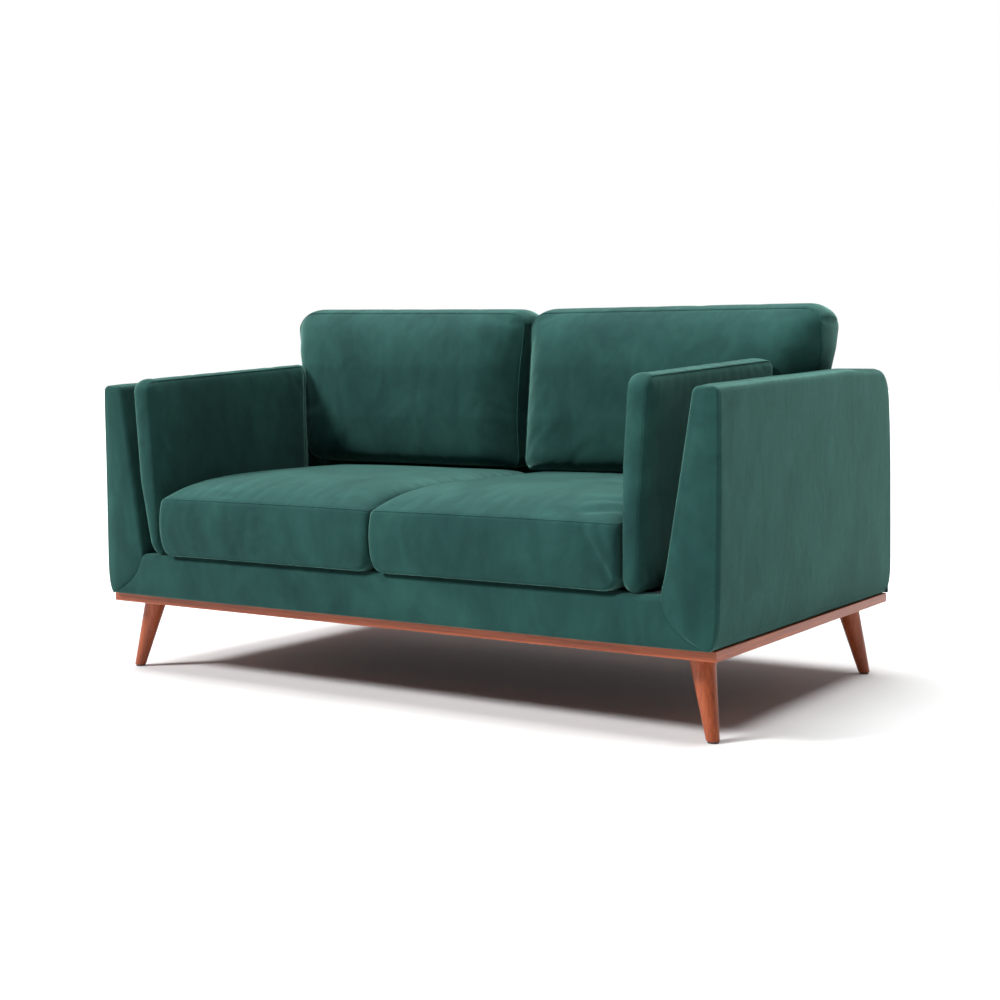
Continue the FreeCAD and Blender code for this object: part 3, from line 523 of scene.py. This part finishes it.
def arm_cap(ring, puff):
    """Rows across the end of the arm, between its outer and inner outlines, puffed forwards in the middle."""
    count = FOOT_ROWS + SIDE_ROWS - 1 + ARC_ROWS
    ring = np.array(ring)
    outer = ring[:count]
    across = ring[count : count + TOP_COLUMNS - 1]
    inner = ring[count + TOP_COLUMNS - 1 :][::-1]
    rows = []
    for k in range(count):
        t = np.linspace(0, 1, TOP_COLUMNS + 1)[:, None]
        row = outer[k] * (1 - t) + inner[k] * t
        if k == count - 1:
            row[1:-1] = across
        else:
            width = abs(outer[k, 0] - inner[k, 0])
            below_top = ring[:, 2].max() - outer[k, 2]
            share = min(1, width / 0.07) * ease(below_top, 0.012)
            bulge = 1 - np.abs(2 * t[:, 0] - 1) ** 2.4
            row[:, 1] -= puff * share * bulge
        rows.append(row)
    return np.array(rows)


def arm(hand, side):
    """One arm's upholstery: a closed skin with a soft roll round its front."""
    front_rings = [
        arm_station(side, FRONT, FRONT, TOP_FRONT, inset, min(1, depth / 0.022), depth)
        for depth, inset in EDGE_PROFILE
    ]
    body_rings = [arm_station(side, *station) for station in side_stations()]
    rings = np.array(front_rings + body_rings)
    cap = arm_cap(rings[0], 0.0050)
    end = arm_cap(rings[-1], 0)
    verts, faces = joined([(rings, True), (cap, False), (end, False)])
    verts = undulate(verts, 0.16, 0.0008, 3 + side)
    made = piece(f"arm_upholstery_{hand}", verts, faces, VELVET)
    subdivide(made)
    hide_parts(f"arm_cover_{hand}", f"arm_foam_{hand}")


# ---------------------------------------------------------------- front strip, deck, back and dust cover
def spread(half, count, edge=(0, 0.002, 0.005, 0.009, 0.015, 0.025, 0.045)):
    """Places from -half to half, close together near the ends."""
    inner = np.linspace(-(half - 0.08), half - 0.08, count)
    ends = half - np.array(edge)
    return np.concatenate([-ends, inner, ends[::-1]])


def front_strip():
    """The panel below the seats. It dips into a seam along each arm and rolls back under the cushions."""
    profile = [
        (FRONT + 0.036, BOTTOM + 0.0004),
        (FRONT + 0.016, BOTTOM + 0.0004),
        (FRONT + 0.0035, BOTTOM + 0.0006),
        (FRONT + 0.0006, BOTTOM + 0.0035),
    ]
    profile += [(FRONT, z) for z in np.linspace(BOTTOM + 0.010, DECK - 0.010, 9)]
    for a in np.linspace(0, math.pi / 2, 6)[1:]:
        profile.append((FRONT + 0.010 - 0.010 * math.cos(a), DECK - 0.010 + 0.010 * math.sin(a)))
    profile += [(FRONT + 0.018, DECK), (FRONT + 0.032, DECK), (FRONT + 0.044, DECK - 0.0004)]
    rows = []
    for y, z in profile:
        half = float(seam_x(z)) + 0.003
        share = (z - BOTTOM) / (DECK - BOTTOM)
        row = []
        for x in spread(half, 40):
            gap = half - abs(x)
            dip = 0.0028 * math.exp(-gap / 0.0070) * (1 if y < FRONT + 0.011 else 0.5)
            puff = 0.0030 * math.sin(math.pi * min(1, max(0, share))) * float(ease(gap, 0.03))
            row.append((x, y + dip - puff, z - 0.3 * dip * (share > 0.9)))
        rows.append(row)
    verts, faces = joined([(rows, False)])
    verts = undulate(verts, 0.22, 0.0007, 21)
    made = piece("front_upholstery", verts, faces, VELVET)
    thicken(made, 0.002)
    subdivide(made)
    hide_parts("front_cover", "front_foam")


def deck():
    """Plain dark cloth over the springs, sewn along three lines from front to rear and two across."""
    low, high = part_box("deck_pad")
    rows = []
    for y in np.linspace(low.y, high.y - 0.002, 46):
        row = []
        lengthways = math.sin(math.pi * (y - low.y) / (high.y - low.y))
        for x in np.linspace(low.x + 0.0055, high.x - 0.0055, 90):
            seam = min(abs(x), abs(abs(x) - 0.32), abs(y - low.y - 0.12), abs(y - high.y + 0.12))
            sag = 0.0035 * math.sin(math.pi * min(1, abs(x) / 0.64)) * lengthways
            row.append((x, y, high.z - 0.0004 - abs(sag) - 0.0018 * math.exp(-((seam / 0.006) ** 2))))
        rows.append(row)
    made = piece("seat_deck", *joined([(rows, False)]), DECKING, "deck_cloth")
    thicken(made, 0.004)
    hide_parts("deck_pad")


BACK_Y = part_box("deck_pad")[1].y


def raked_y(z):
    """The back's inside face at a height."""
    return BACK_Y + 0.2217 * (z - DECK)


def back_padding():
    """The inside, top and upper rear of the back, which meets the arms in a seam at each side."""
    knee = TOP_REAR - 0.016
    path = [(raked_y(z), z) for z in np.linspace(DECK - 0.001, knee, 22)]
    start = np.array(path[-1])
    bend = curve(start, (start[0] + 0.003, TOP_REAR), (start[0] + 0.022, TOP_REAR), 7)
    path += [tuple(p) for p in bend[1:]]
    path += [(y, TOP_REAR) for y in np.linspace(start[0] + 0.034, ROUND_START, 8)]
    for a in np.linspace(0, math.pi / 2, 9)[1:]:
        y = ROUND_START + (LEAN_Y - ROUND_START - 0.0005) * math.sin(a)
        path.append((y, LEAN_Z + (TOP_REAR - LEAN_Z) * math.cos(a)))
    path += [(LEAN_Y - 0.002, LEAN_Z - 0.006), (LEAN_Y - 0.003, LEAN_Z - 0.02)]
    path = np.array(path)
    tangent = np.gradient(path, axis=0)
    tangent /= np.linalg.norm(tangent, axis=1, keepdims=True)
    rows = []
    for (y, z), (ty, tz) in zip(path, tangent):
        half = min(float(inner_x(z)), float(inner_x(TOP_REAR - CORNER))) + 0.004
        if z > TOP_REAR - CORNER or y > ROUND_START:
            half += 0.006
        row = []
        for x in spread(half, 40):
            gap = half - abs(x)
            dip = 0.012 * math.exp(-gap / 0.007)
            row.append((x, y + dip * tz, z - dip * ty))
        rows.append(row)
    verts, faces = joined([(rows, False)])
    verts = undulate(verts, 0.2, 0.0006, 33)
    made = piece("back_upholstery", verts, faces, VELVET)
    thicken(made, 0.002)
    subdivide(made)
    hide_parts("back_cover", "back_foam")


def outside_back():
    """The rear panel, drawn tight over its board, with its edges turned in."""
    low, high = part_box("outside_back_panel")
    rows = []
    heights = np.array([0, 0.0015, 0.004, 0.009, 0.018])
    length = high.z - low.z
    for h in np.concatenate([heights, np.linspace(0.035, length - 0.035, 18), length - heights[::-1]]):
        row = []
        lean = high.y - (high.y - LEAN_Y) * h / length
        for x in spread(high.x, 44, (0, 0.0015, 0.004, 0.009, 0.018, 0.035, 0.055)):
            gap = min(high.x - abs(x), h, length - h)
            turn = 0.0030 * math.exp(-gap / 0.0022)
            puff = 0.0020 * float(ease(gap, 0.05))
            row.append((x, lean + puff - turn - 0.0008, low.z + h + 0.0002))
        rows.append(row)
    verts, faces = joined([(rows, False)])
    verts = undulate(verts, 0.25, 0.0005, 45)
    made = piece("outside_back", verts, faces, VELVET)
    thicken(made, 0.0025)
    subdivide(made)
    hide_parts("outside_back_panel")


def dust_cover():
    """Thin spun cloth across the underside, tacked along its edges so that it ripples a little."""
    low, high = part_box("dust_cover")
    rows = []
    for y in np.linspace(low.y, high.y, 60):
        row = []
        for x in np.linspace(low.x, high.x, 110):
            gap = min(x - low.x, high.x - x, y - low.y, high.y - y)
            sag = 0.005 * float(ease(gap, 0.12))
            tack = 0.0012 * math.sin((x + y) * 2 * math.pi / 0.075) * math.exp(-gap / 0.03)
            row.append((x, y, high.z - 0.0006 - sag + min(0, tack)))
        rows.append(row)
    made = piece("dust_cloth", *joined([(rows, False)]), DUST, "dust_cloth")
    thicken(made, 0.0004)
    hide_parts("dust_cover")


# ---------------------------------------------------------------- loose cushions
class Cushion:
    """Two panels and the boxing between them. The panels are grids over -1 to 1 in two directions.

    Its limit keeps its points near the CAD solid that it replaces.
    """

    def __init__(self, name, body, front, rear, counts, boxing, fill):
        self.name, self.body, self.fill = name, body, fill
        columns, rows, self.layers = counts
        a, b = np.meshgrid(self.steps(columns), self.steps(rows), indexing="ij")
        near, far = front(a, b), rear(a, b)
        n, m = a.shape
        ids = np.arange(n * m).reshape(n, m)
        loop = list(ids[:, 0]) + list(ids[-1, 1:]) + list(ids[-2::-1, -1]) + list(ids[0, -2:0:-1])
        self.loop = np.array(loop)
        flat_near, flat_far = near.reshape(-1, 3), far.reshape(-1, 3)
        edge_near, edge_far = flat_near[self.loop], flat_far[self.loop]
        middle = (edge_near + edge_far) / 2
        tangent = np.roll(middle, -1, 0) - np.roll(middle, 1, 0)
        outward = np.cross(tangent, edge_far - edge_near)
        outward /= np.linalg.norm(outward, axis=1, keepdims=True)
        centre = middle.mean(0)
        if np.sum(outward * (middle - centre)) < 0:
            outward = -outward
        band = [
            edge_near * (1 - s) + edge_far * s + outward * boxing(s, middle)[:, None]
            for s in self.layer_steps()[1:-1]
        ]
        self.verts = np.concatenate([flat_near, flat_far] + band)
        total = n * m
        faces = lattice(near) + [tuple(reversed(f)) for f in lattice(far, total)]
        rings = [self.loop] + [
            2 * total + k * len(self.loop) + np.arange(len(self.loop)) for k in range(len(band))
        ]
        rings.append(self.loop + total)
        for one, two in zip(rings, rings[1:]):
            for i in range(len(one)):
                j = (i + 1) % len(one)
                faces.append((one[j], one[i], two[i], two[j]))
        self.faces = [tuple(int(i) for i in f) for f in faces]
        self.seams = (self.loop, self.loop + total)
        self.made = piece(name, self.verts, self.faces, VELVET, body=body, merge=False)

    @staticmethod
    def steps(count):
        """Places from -1 to 1, closer together near the ends."""
        u = np.linspace(-1, 1, count)
        return 0.72 * u + 0.28 * np.sin(u * math.pi / 2)

    def layer_steps(self):
        u = np.linspace(0, 1, self.layers + 1)
        return u - 0.10 * np.sin(2 * math.pi * u)


def rounded(a, b, half_a, half_b, radius_low, radius_high):
    """A grid spread over a rectangle with rounded corners."""
    x, y = a * half_a, b * half_b
    radius = np.where(b < 0, radius_low, radius_high)
    p = (np.abs(x) - (half_a - radius)) / radius
    q = (np.abs(y) - (half_b - radius)) / radius
    inside = (p > 0) & (q > 0)
    p2 = np.clip(p, 0, 1)
    q2 = np.clip(q, 0, 1)
    rx = (half_a - radius) + radius * p2 * np.sqrt(1 - q2 * q2 / 2)
    ry = (half_b - radius) + radius * q2 * np.sqrt(1 - p2 * p2 / 2)
    return np.where(inside, np.sign(x) * rx, x), np.where(inside, np.sign(y) * ry, y)


def held_in(verts, low, high):
    """Points kept between two corners."""
    return np.clip(verts, np.array(low), np.array(high))


# Rise of the seats' middles, and height of their front top seam.
SEAT_CROWN = {"left": 0.012, "right": 0.007}
SEAT_FRONT_SEAM = 0.389


def seat_cushion(hand, side):
    """A boxed seat cushion that is crowned along its front and flat underneath."""
    low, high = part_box(f"seat_cushion_cover_{hand}")
    inner, outer = min(abs(low.x), abs(high.x)), max(abs(low.x), abs(high.x))
    middle, half = (inner + outer) / 2, (outer - inner) / 2
    mid_y, half_y = (low.y + high.y) / 2, (high.y - low.y) / 2

    def top(a, b):
        u, v = rounded(a, b, half - 0.0012, half_y - 0.0045, 0.015, 0.02)
        y = mid_y + v + 0.0015
        reach = y - low.y
        gap = (half - 0.0012) * (1 - np.abs(a))
        ridge = SEAT_FRONT_SEAM + 0.047 * ease(reach, 0.080)
        drop = 0.017 * ease(reach, 0.035)
        crown = SEAT_CROWN[hand] * (1 - np.abs(a) ** 2.2) * ease(reach, 0.05)
        z = ridge - drop * np.exp(-gap / 0.010) + crown
        rear_limit = 0.4436 - 0.058 * np.maximum(0, y - 0.07)
        late = np.clip((y - 0.0) / 0.09, 0, 1)
        late = late * late * (3 - 2 * late)
        z = z * (1 - late) + np.minimum(z, rear_limit) * late
        z = z - 0.010 * np.exp(-(high.y - y) / 0.012)
        return np.stack([side * (middle + u), y, z], -1)

    def bottom(a, b):
        u, v = rounded(a, b, half - 0.0015, half_y - 0.0060, 0.014, 0.02)
        y = mid_y + v
        gap = (half - 0.0015) * (1 - np.abs(a))
        lift = 0.022 * np.clip(1 - gap / 0.028, 0, 1) ** 2
        lift = lift + 0.004 * np.exp(-(y - low.y - 0.0085) / 0.012)
        return np.stack([side * (middle + u), y, low.z + 0.0003 + lift], -1)

    def boxing(s, places):
        front = places[:, 1] < low.y + 0.05
        return np.where(front, 0.0080, 0.0045) * np.sin(math.pi * s) ** 0.6

    made = Cushion(f"seat_cushion_{hand}", f"seat_cushion_{hand}", top, bottom, (84, 90, 16), boxing, 0.8)
    made.limit = lambda v: held_in(v, (low.x, low.y - 0.004, low.z), (high.x, high.y, high.z + 0.004))
    return made


# Heights of the back cushions, and at each: the outer edge, the front seam's place at that edge and beside
# the other cushion, and the front of the crown.
BACK_Z = (0.446, 0.560, 0.680, 0.715, 0.770, 0.812)
BACK_OUTER = (0.659, 0.681, 0.697, 0.7015, 0.7015, 0.698)
BACK_SEAM = (0.176, 0.186, 0.187, 0.177, 0.172, 0.178)
BACK_MIDDLE_SEAM = (0.141, 0.147, 0.161, 0.166, 0.169, 0.172)
BACK_CROWN = (0.084, 0.081, 0.093, 0.101, 0.112, 0.125)
# Rise of the outer top corner, pull of the inner edge, drop of the foot, and width of the rounded inner edge.
BACK_TILT = {"left": 0.017, "right": -0.005}
BACK_PULL = {"left": 0.012, "right": 0.004}
BACK_SINK = {"left": 0.001, "right": 0.006}
BACK_TURN = {"left": 0.062, "right": 0.040}


def back_cushion(hand, side):
    """A plump back cushion that widens upwards and leans on the back."""
    low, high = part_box(f"back_cushion_cover_{hand}")
    inner = -high.x if side < 0 else low.x
    bottom_z, top_z = low.z - BACK_SINK[hand] + 0.001, high.z - 0.013

    def plan(a, b, trim, raise_):
        half_z = (top_z - bottom_z) / 2 - raise_
        u, v = rounded(a, b, 0.33, half_z, 0.028, 0.042)
        z = (top_z + bottom_z) / 2 + v
        across = (1 + u / 0.33) / 2
        width = np.interp(z, BACK_Z, BACK_OUTER) - inner - 2 * trim
        x = inner + trim + width * across
        hollow = 1 - np.clip(np.abs(b), 0, 1) ** 2
        x = x + BACK_PULL[hand] * hollow * (1 - across) ** 8 - 0.005 * hollow * across**8
        lift = BACK_TILT[hand] * across * np.clip((z - 0.6) / 0.2, 0, 1) ** 2
        return x, z, across, lift

    def front(a, b):
        x, z, across, lift = plan(a, b, 0.004, 0)
        middle = np.interp(z, BACK_Z, BACK_MIDDLE_SEAM)
        seam = middle + (np.interp(z, BACK_Z, BACK_SEAM) - middle) * across
        turn = np.where(a < 0, BACK_TURN[hand], 0.036)
        rise_x = 1 - np.exp(-((0.34 * (1 - np.abs(a)) / turn) ** 1.2))
        rise_top = ease(0.175 * (1 - b), 0.034)
        rise_low = ease(0.175 * (1 + b), 0.010)
        crown = (seam - np.interp(z, BACK_Z, BACK_CROWN)) * rise_x * rise_top * rise_low
        return np.stack([side * x, seam - crown, z + lift], -1)

    def rear(a, b):
        x, z, _, lift = plan(a, b, 0.007, 0.003)
        y = 0.2215 + (z - low.z) * 0.1803
        return np.stack([side * x, y - 0.004 * np.maximum(np.abs(a), np.abs(b)) ** 8, z + lift], -1)

    def boxing(s, places):
        upper = places[:, 2] > top_z - 0.03
        return np.where(upper, 0.0125, 0.004) * np.sin(math.pi * s) ** 0.75

    made = Cushion(f"back_cushion_{hand}", f"back_cushion_{hand}", front, rear, (88, 56, 14), boxing, 0.75)
    sunk = low.z - BACK_SINK[hand]
    made.limit = lambda v: held_in(v, (low.x, low.y - 0.006, sunk), (high.x, high.y, high.z + 0.020))
    return made


# The arm pads' faces at a height, and their tops at the front and rear.
PAD_REAR = 0.060
PAD_INNER = {
    "left": ((0.274, 0.400, 0.500, 0.625, 0.686), (0.574, 0.585, 0.592, 0.602, 0.606)),
    "right": ((0.274, 0.400, 0.500, 0.634, 0.690), (0.5605, 0.560, 0.561, 0.569, 0.573)),
}
PAD_OUTER = {
    "left": ((0.2855, 0.430, 0.630, 0.686), (0.611, 0.641, 0.6565, 0.658)),
    "right": ((0.2855, 0.430, 0.640, 0.690), (0.605, 0.609, 0.6225, 0.624)),
}
PAD_TOP = {"left": (0.650, 0.687), "right": (0.659, 0.691)}


def arm_pad(hand, side):
    """A slim boxed cushion that stands against the inside of its arm."""
    low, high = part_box(f"arm_pad_cover_{hand}")
    top_front, top_rear = PAD_TOP[hand]

    def panel(a, b, faces_in):
        half_y, half_z = 0.27, 0.19
        u, v = rounded(a, b, half_y, half_z, 0.030, 0.024)
        u, v = (u / half_y + 1) / 2, (v / half_z + 1) / 2
        top = top_front + (top_rear - top_front) * u - 0.0045
        z = low.z + 0.005 + (top - low.z - 0.005) * v
        face = np.interp(z, *(PAD_INNER if faces_in else PAD_OUTER)[hand])
        gap = np.minimum(half_y * (1 - np.abs(a)), half_z * (1 - np.abs(b)))
        sunk = 0.0075 * np.exp(-gap / 0.012)
        front = low.y + 0.0050
        rear = np.minimum(PAD_REAR + (face - 0.575) * math.tan(math.radians(45.5)) - 0.003, high.y)
        x = face + (sunk if faces_in else -sunk)
        return np.stack([side * x, front + (rear - front) * u, z], -1)

    def boxing(s, places):
        front = places[:, 1] < low.y + 0.04
        upper = places[:, 2] > 0.63
        return np.where(front, 0.0060, np.where(upper, 0.0050, 0.0020)) * np.sin(math.pi * s) ** 0.8

    def inward(a, b):
        return panel(a, b, True)

    def outward(a, b):
        return panel(a, b, False)

    made = Cushion(f"arm_pad_{hand}", f"arm_pad_{hand}", inward, outward, (66, 50, 10), boxing, 0.9)
    corner = (low.x - 0.003, low.y - 0.004, low.z)
    made.limit = lambda v: held_in(v, corner, (high.x + 0.003, high.y, high.z + 0.004))
    return made


# The simulation's furthest move, the shares of its broad swell and fine folds that are kept, and its length.
CAP = 0.024
KEPT_SWELL, KEPT_FOLDS = 0.12, 0.40
FRAMES = 20


def smoothed(values, edges, rounds):
    """Values averaged again and again with their neighbours."""
    one, two = edges.T
    count = np.bincount(edges.ravel(), minlength=len(values))[:, None]
    for _ in range(rounds):
        total = np.zeros_like(values)
        np.add.at(total, one, values[two])
        np.add.at(total, two, values[one])
        values = 0.5 * values + 0.5 * total / count
    return values


def inflate(cushions):
    """Blows the covers up as cloth, with their seams held, and keeps the result within a cap."""
    scene = bpy.context.scene
    scene.frame_start, scene.frame_end = 1, FRAMES
    for cushion in cushions:
        made = cushion.made
        held = made.vertex_groups.new(name="held")
        for loop in cushion.seams:
            held.add([int(i) for i in loop], 1.0, "REPLACE")
        cloth = made.modifiers.new("inflate", "CLOTH")
        settings = cloth.settings
        settings.quality = 5
        settings.tension_stiffness = settings.compression_stiffness = 12
        settings.shear_stiffness = 4
        settings.bending_stiffness = 2.5
        settings.use_pressure = True
        settings.uniform_pressure_force = 4
        settings.shrink_min = -0.006
        settings.effector_weights.gravity = 0
        settings.vertex_group_mass = "held"
        cloth.collision_settings.use_collision = False
        cloth.point_cache.frame_start, cloth.point_cache.frame_end = 1, FRAMES
    for number in range(1, FRAMES + 1):
        scene.frame_set(number)
    graph = bpy.context.evaluated_depsgraph_get()
    for cushion in cushions:
        cooked = cushion.made.evaluated_get(graph).data
        after = np.zeros(len(cooked.vertices) * 3)
        cooked.vertices.foreach_get("co", after)
        move = after.reshape(-1, 3) - cushion.verts
        size = np.linalg.norm(move, axis=1, keepdims=True)
        move = move * np.minimum(1, CAP / np.maximum(size, 1e-9))
        edges = np.array([edge.vertices[:] for edge in cushion.made.data.edges])
        swell = smoothed(move, edges, 60)
        cushion.verts = cushion.verts + KEPT_SWELL * swell + KEPT_FOLDS * (move - swell)
    for cushion in cushions:
        cushion.made.modifiers.clear()
        cushion.made.vertex_groups.clear()
    scene.frame_set(1)


def fold(verts, start, end, width, depth, along):
    """A crease from one point to another: a valley with a ridge beside it, pushed along a direction."""
    start, end, along = (np.array(p, float) for p in (start, end, along))
    span = end - start
    t = np.clip((verts - start) @ span / (span @ span), 0, 1)
    nearest = start + t[:, None] * span
    offset = verts - nearest
    side_way = np.cross(span / np.linalg.norm(span), along)
    across = offset @ side_way
    distance = np.linalg.norm(offset, axis=1)
    fade = np.sin(math.pi * np.clip(t, 0.02, 0.98)) ** 0.6
    valley = np.exp(-((across / width) ** 2))
    ridge = 0.6 * np.exp(-(((across - 2 * width) / (1.3 * width)) ** 2))
    near = np.exp(-((distance / (4 * width)) ** 2))
    return verts + (depth * fade * near * (valley - ridge))[:, None] * along


def move_to(mesh, verts):
    """Sets a mesh's points."""
    mesh.vertices.foreach_set("co", verts.ravel())
    mesh.update()


def complete(cushion, cord_radius, pinch=0.0014):
    """Sets the final shape: seams drawn in, one subdivision, and a sewn ridge along each seam."""
    made = cushion.made
    verts = cushion.limit(cushion.verts)
    move_to(made.data, verts)
    normals = np.array([v.normal for v in made.data.vertices])
    for loop in cushion.seams:
        verts[loop] -= normals[loop] * pinch
    verts = cushion.limit(verts)
    move_to(made.data, verts)
    subdivide(made)
    for label, loop in zip(("a", "b"), cushion.seams):
        path = verts[loop] + normals[loop] * (pinch * 0.35)
        cord = tube(f"{cushion.name}_seam_{label}", path, cord_radius, cushion.body)
        subdivide(cord)


# Creases of the right seat's front corner, where it is pushed against its arm pad:
# from, to, width, depth, direction.
CREASES = (
    ((0.484, -0.455, 0.384), (0.536, -0.455, 0.306), 0.0110, 0.0085, (0, 1, 0)),
    ((0.514, -0.455, 0.392), (0.556, -0.455, 0.322), 0.0085, 0.0070, (0, 1, 0)),
    ((0.530, -0.455, 0.322), (0.552, -0.455, 0.276), 0.0085, 0.0075, (0, 1, 0)),
    ((0.460, -0.420, 0.410), (0.552, -0.395, 0.418), 0.0120, 0.0060, (0, 0, -1)),
    ((0.490, -0.360, 0.424), (0.556, -0.340, 0.424), 0.0120, 0.0050, (0, 0, -1)),
)


# ---------------------------------------------------------------- build
finish_frame()
for hand, side in SIDES:
    arm(hand, side)
front_strip()
deck()
back_padding()
outside_back()
dust_cover()

cushions = []
for hand, side in SIDES:
    cushions += [seat_cushion(hand, side), back_cushion(hand, side), arm_pad(hand, side)]
inflate(cushions)
right_seat = cushions[3]
for crease in CREASES:
    right_seat.verts = fold(right_seat.verts, *crease)
for cushion in cushions:
    stem, hand = cushion.name.rsplit("_", 1)
    complete(cushion, 0.0010 if stem == "arm_pad" else 0.0012)
    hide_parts(f"{stem}_cover_{hand}", f"{stem}_core_{hand}")


# ---------------------------------------------------------------- floor, light and camera
def studio_floor():
    """A wide pale floor."""
    size = 60.0
    corners = [(-size, -size, 0), (size, -size, 0), (size, size, 0), (-size, size, 0)]
    mesh = bpy.data.meshes.new("studio_floor")
    mesh.from_pydata(corners, [], [(0, 1, 2, 3)])
    floor = bpy.data.objects.new("studio_floor", mesh)
    bpy.context.scene.collection.objects.link(floor)
    made, tree, shader = blank("pale_floor")
    tone = ramp(tree, speckle(tree, 2.0), [(0.3, (0.60, 0.60, 0.60)), (0.7, (0.64, 0.64, 0.64))])
    tree.links.new(tone, shader.inputs["Base Color"])
    shader.inputs["Roughness"].default_value = 0.9
    mesh.materials.append(made)


def area_light(name, at, target, size, power):
    """A softbox at a place, turned to a target."""
    lamp = bpy.data.lights.new(name, "AREA")
    lamp.shape = "RECTANGLE"
    lamp.size, lamp.size_y = size
    lamp.energy = power
    made = bpy.data.objects.new(name, lamp)
    bpy.context.scene.collection.objects.link(made)
    made.location = at
    made.rotation_euler = (Vector(target) - Vector(at)).to_track_quat("-Z", "Y").to_euler()


def sun(name, towards, strength, width):
    """Even light from one direction, as from a far softbox that spans an angle."""
    lamp = bpy.data.lights.new(name, "SUN")
    lamp.energy = strength
    lamp.angle = math.radians(width)
    made = bpy.data.objects.new(name, lamp)
    bpy.context.scene.collection.objects.link(made)
    made.location = (0, 0, 4)
    made.rotation_euler = Vector(towards).to_track_quat("-Z", "Y").to_euler()


def studio_world():
    """Dim light all round, rising to a bright wall behind and to the left."""
    world = bpy.data.worlds.new("studio")
    bpy.context.scene.world = world
    world.use_nodes = True
    tree = world.node_tree
    direction = add(tree, "TexCoord").outputs["Generated"]
    wall = add(tree, "VectorMath", {0: direction, 1: (-0.54, 0.84, 0)}, operation="DOT_PRODUCT")
    limits = {"From Min": 0.5, "From Max": 0.9, "To Min": 0.14, "To Max": 1.0}
    glow = add(tree, "MapRange", {"Value": wall.outputs["Value"], **limits})
    background = tree.nodes["Background"]
    background.inputs["Color"].default_value = (1, 1, 1, 1)
    tree.links.new(glow.outputs["Result"], background.inputs["Strength"])


def photo_camera():
    """The photograph's view: a camera low and to the right of the sofa."""
    azimuth, elevation, roll = math.radians(32.943), math.radians(4.7517), 0.003695
    level, rise = math.cos(elevation), math.sin(elevation)
    back = Vector((math.sin(azimuth) * level, -math.cos(azimuth) * level, rise))
    right = Vector((math.cos(azimuth), math.sin(azimuth), 0))
    up = back.cross(right)
    turned_right = right * math.cos(roll) - up * math.sin(roll)
    turned_up = right * math.sin(roll) + up * math.cos(roll)
    data = bpy.data.cameras.new("camera")
    data.sensor_width = 36
    data.lens = 56.4
    data.shift_y = 0.00637
    camera = bpy.data.objects.new("camera", data)
    bpy.context.scene.collection.objects.link(camera)
    turn = Matrix((turned_right, turned_up, back)).transposed().to_4x4()
    camera.matrix_world = Matrix.Translation((1.89843, -2.90161, 0.6556)) @ turn
    bpy.context.scene.camera = camera


studio_floor()
studio_world()
sun("key", (1, 1.1, -1.25), 4.4, 14)
sun("overhead", (0.05, -0.12, -1), 5.3, 48)
area_light("fill", (3.4, -1.4, 1.0), (0.6, 0, 0.3), (1.6, 1.4), 0.4)
bpy.context.scene.view_settings.view_transform = "Standard"
photo_camera()
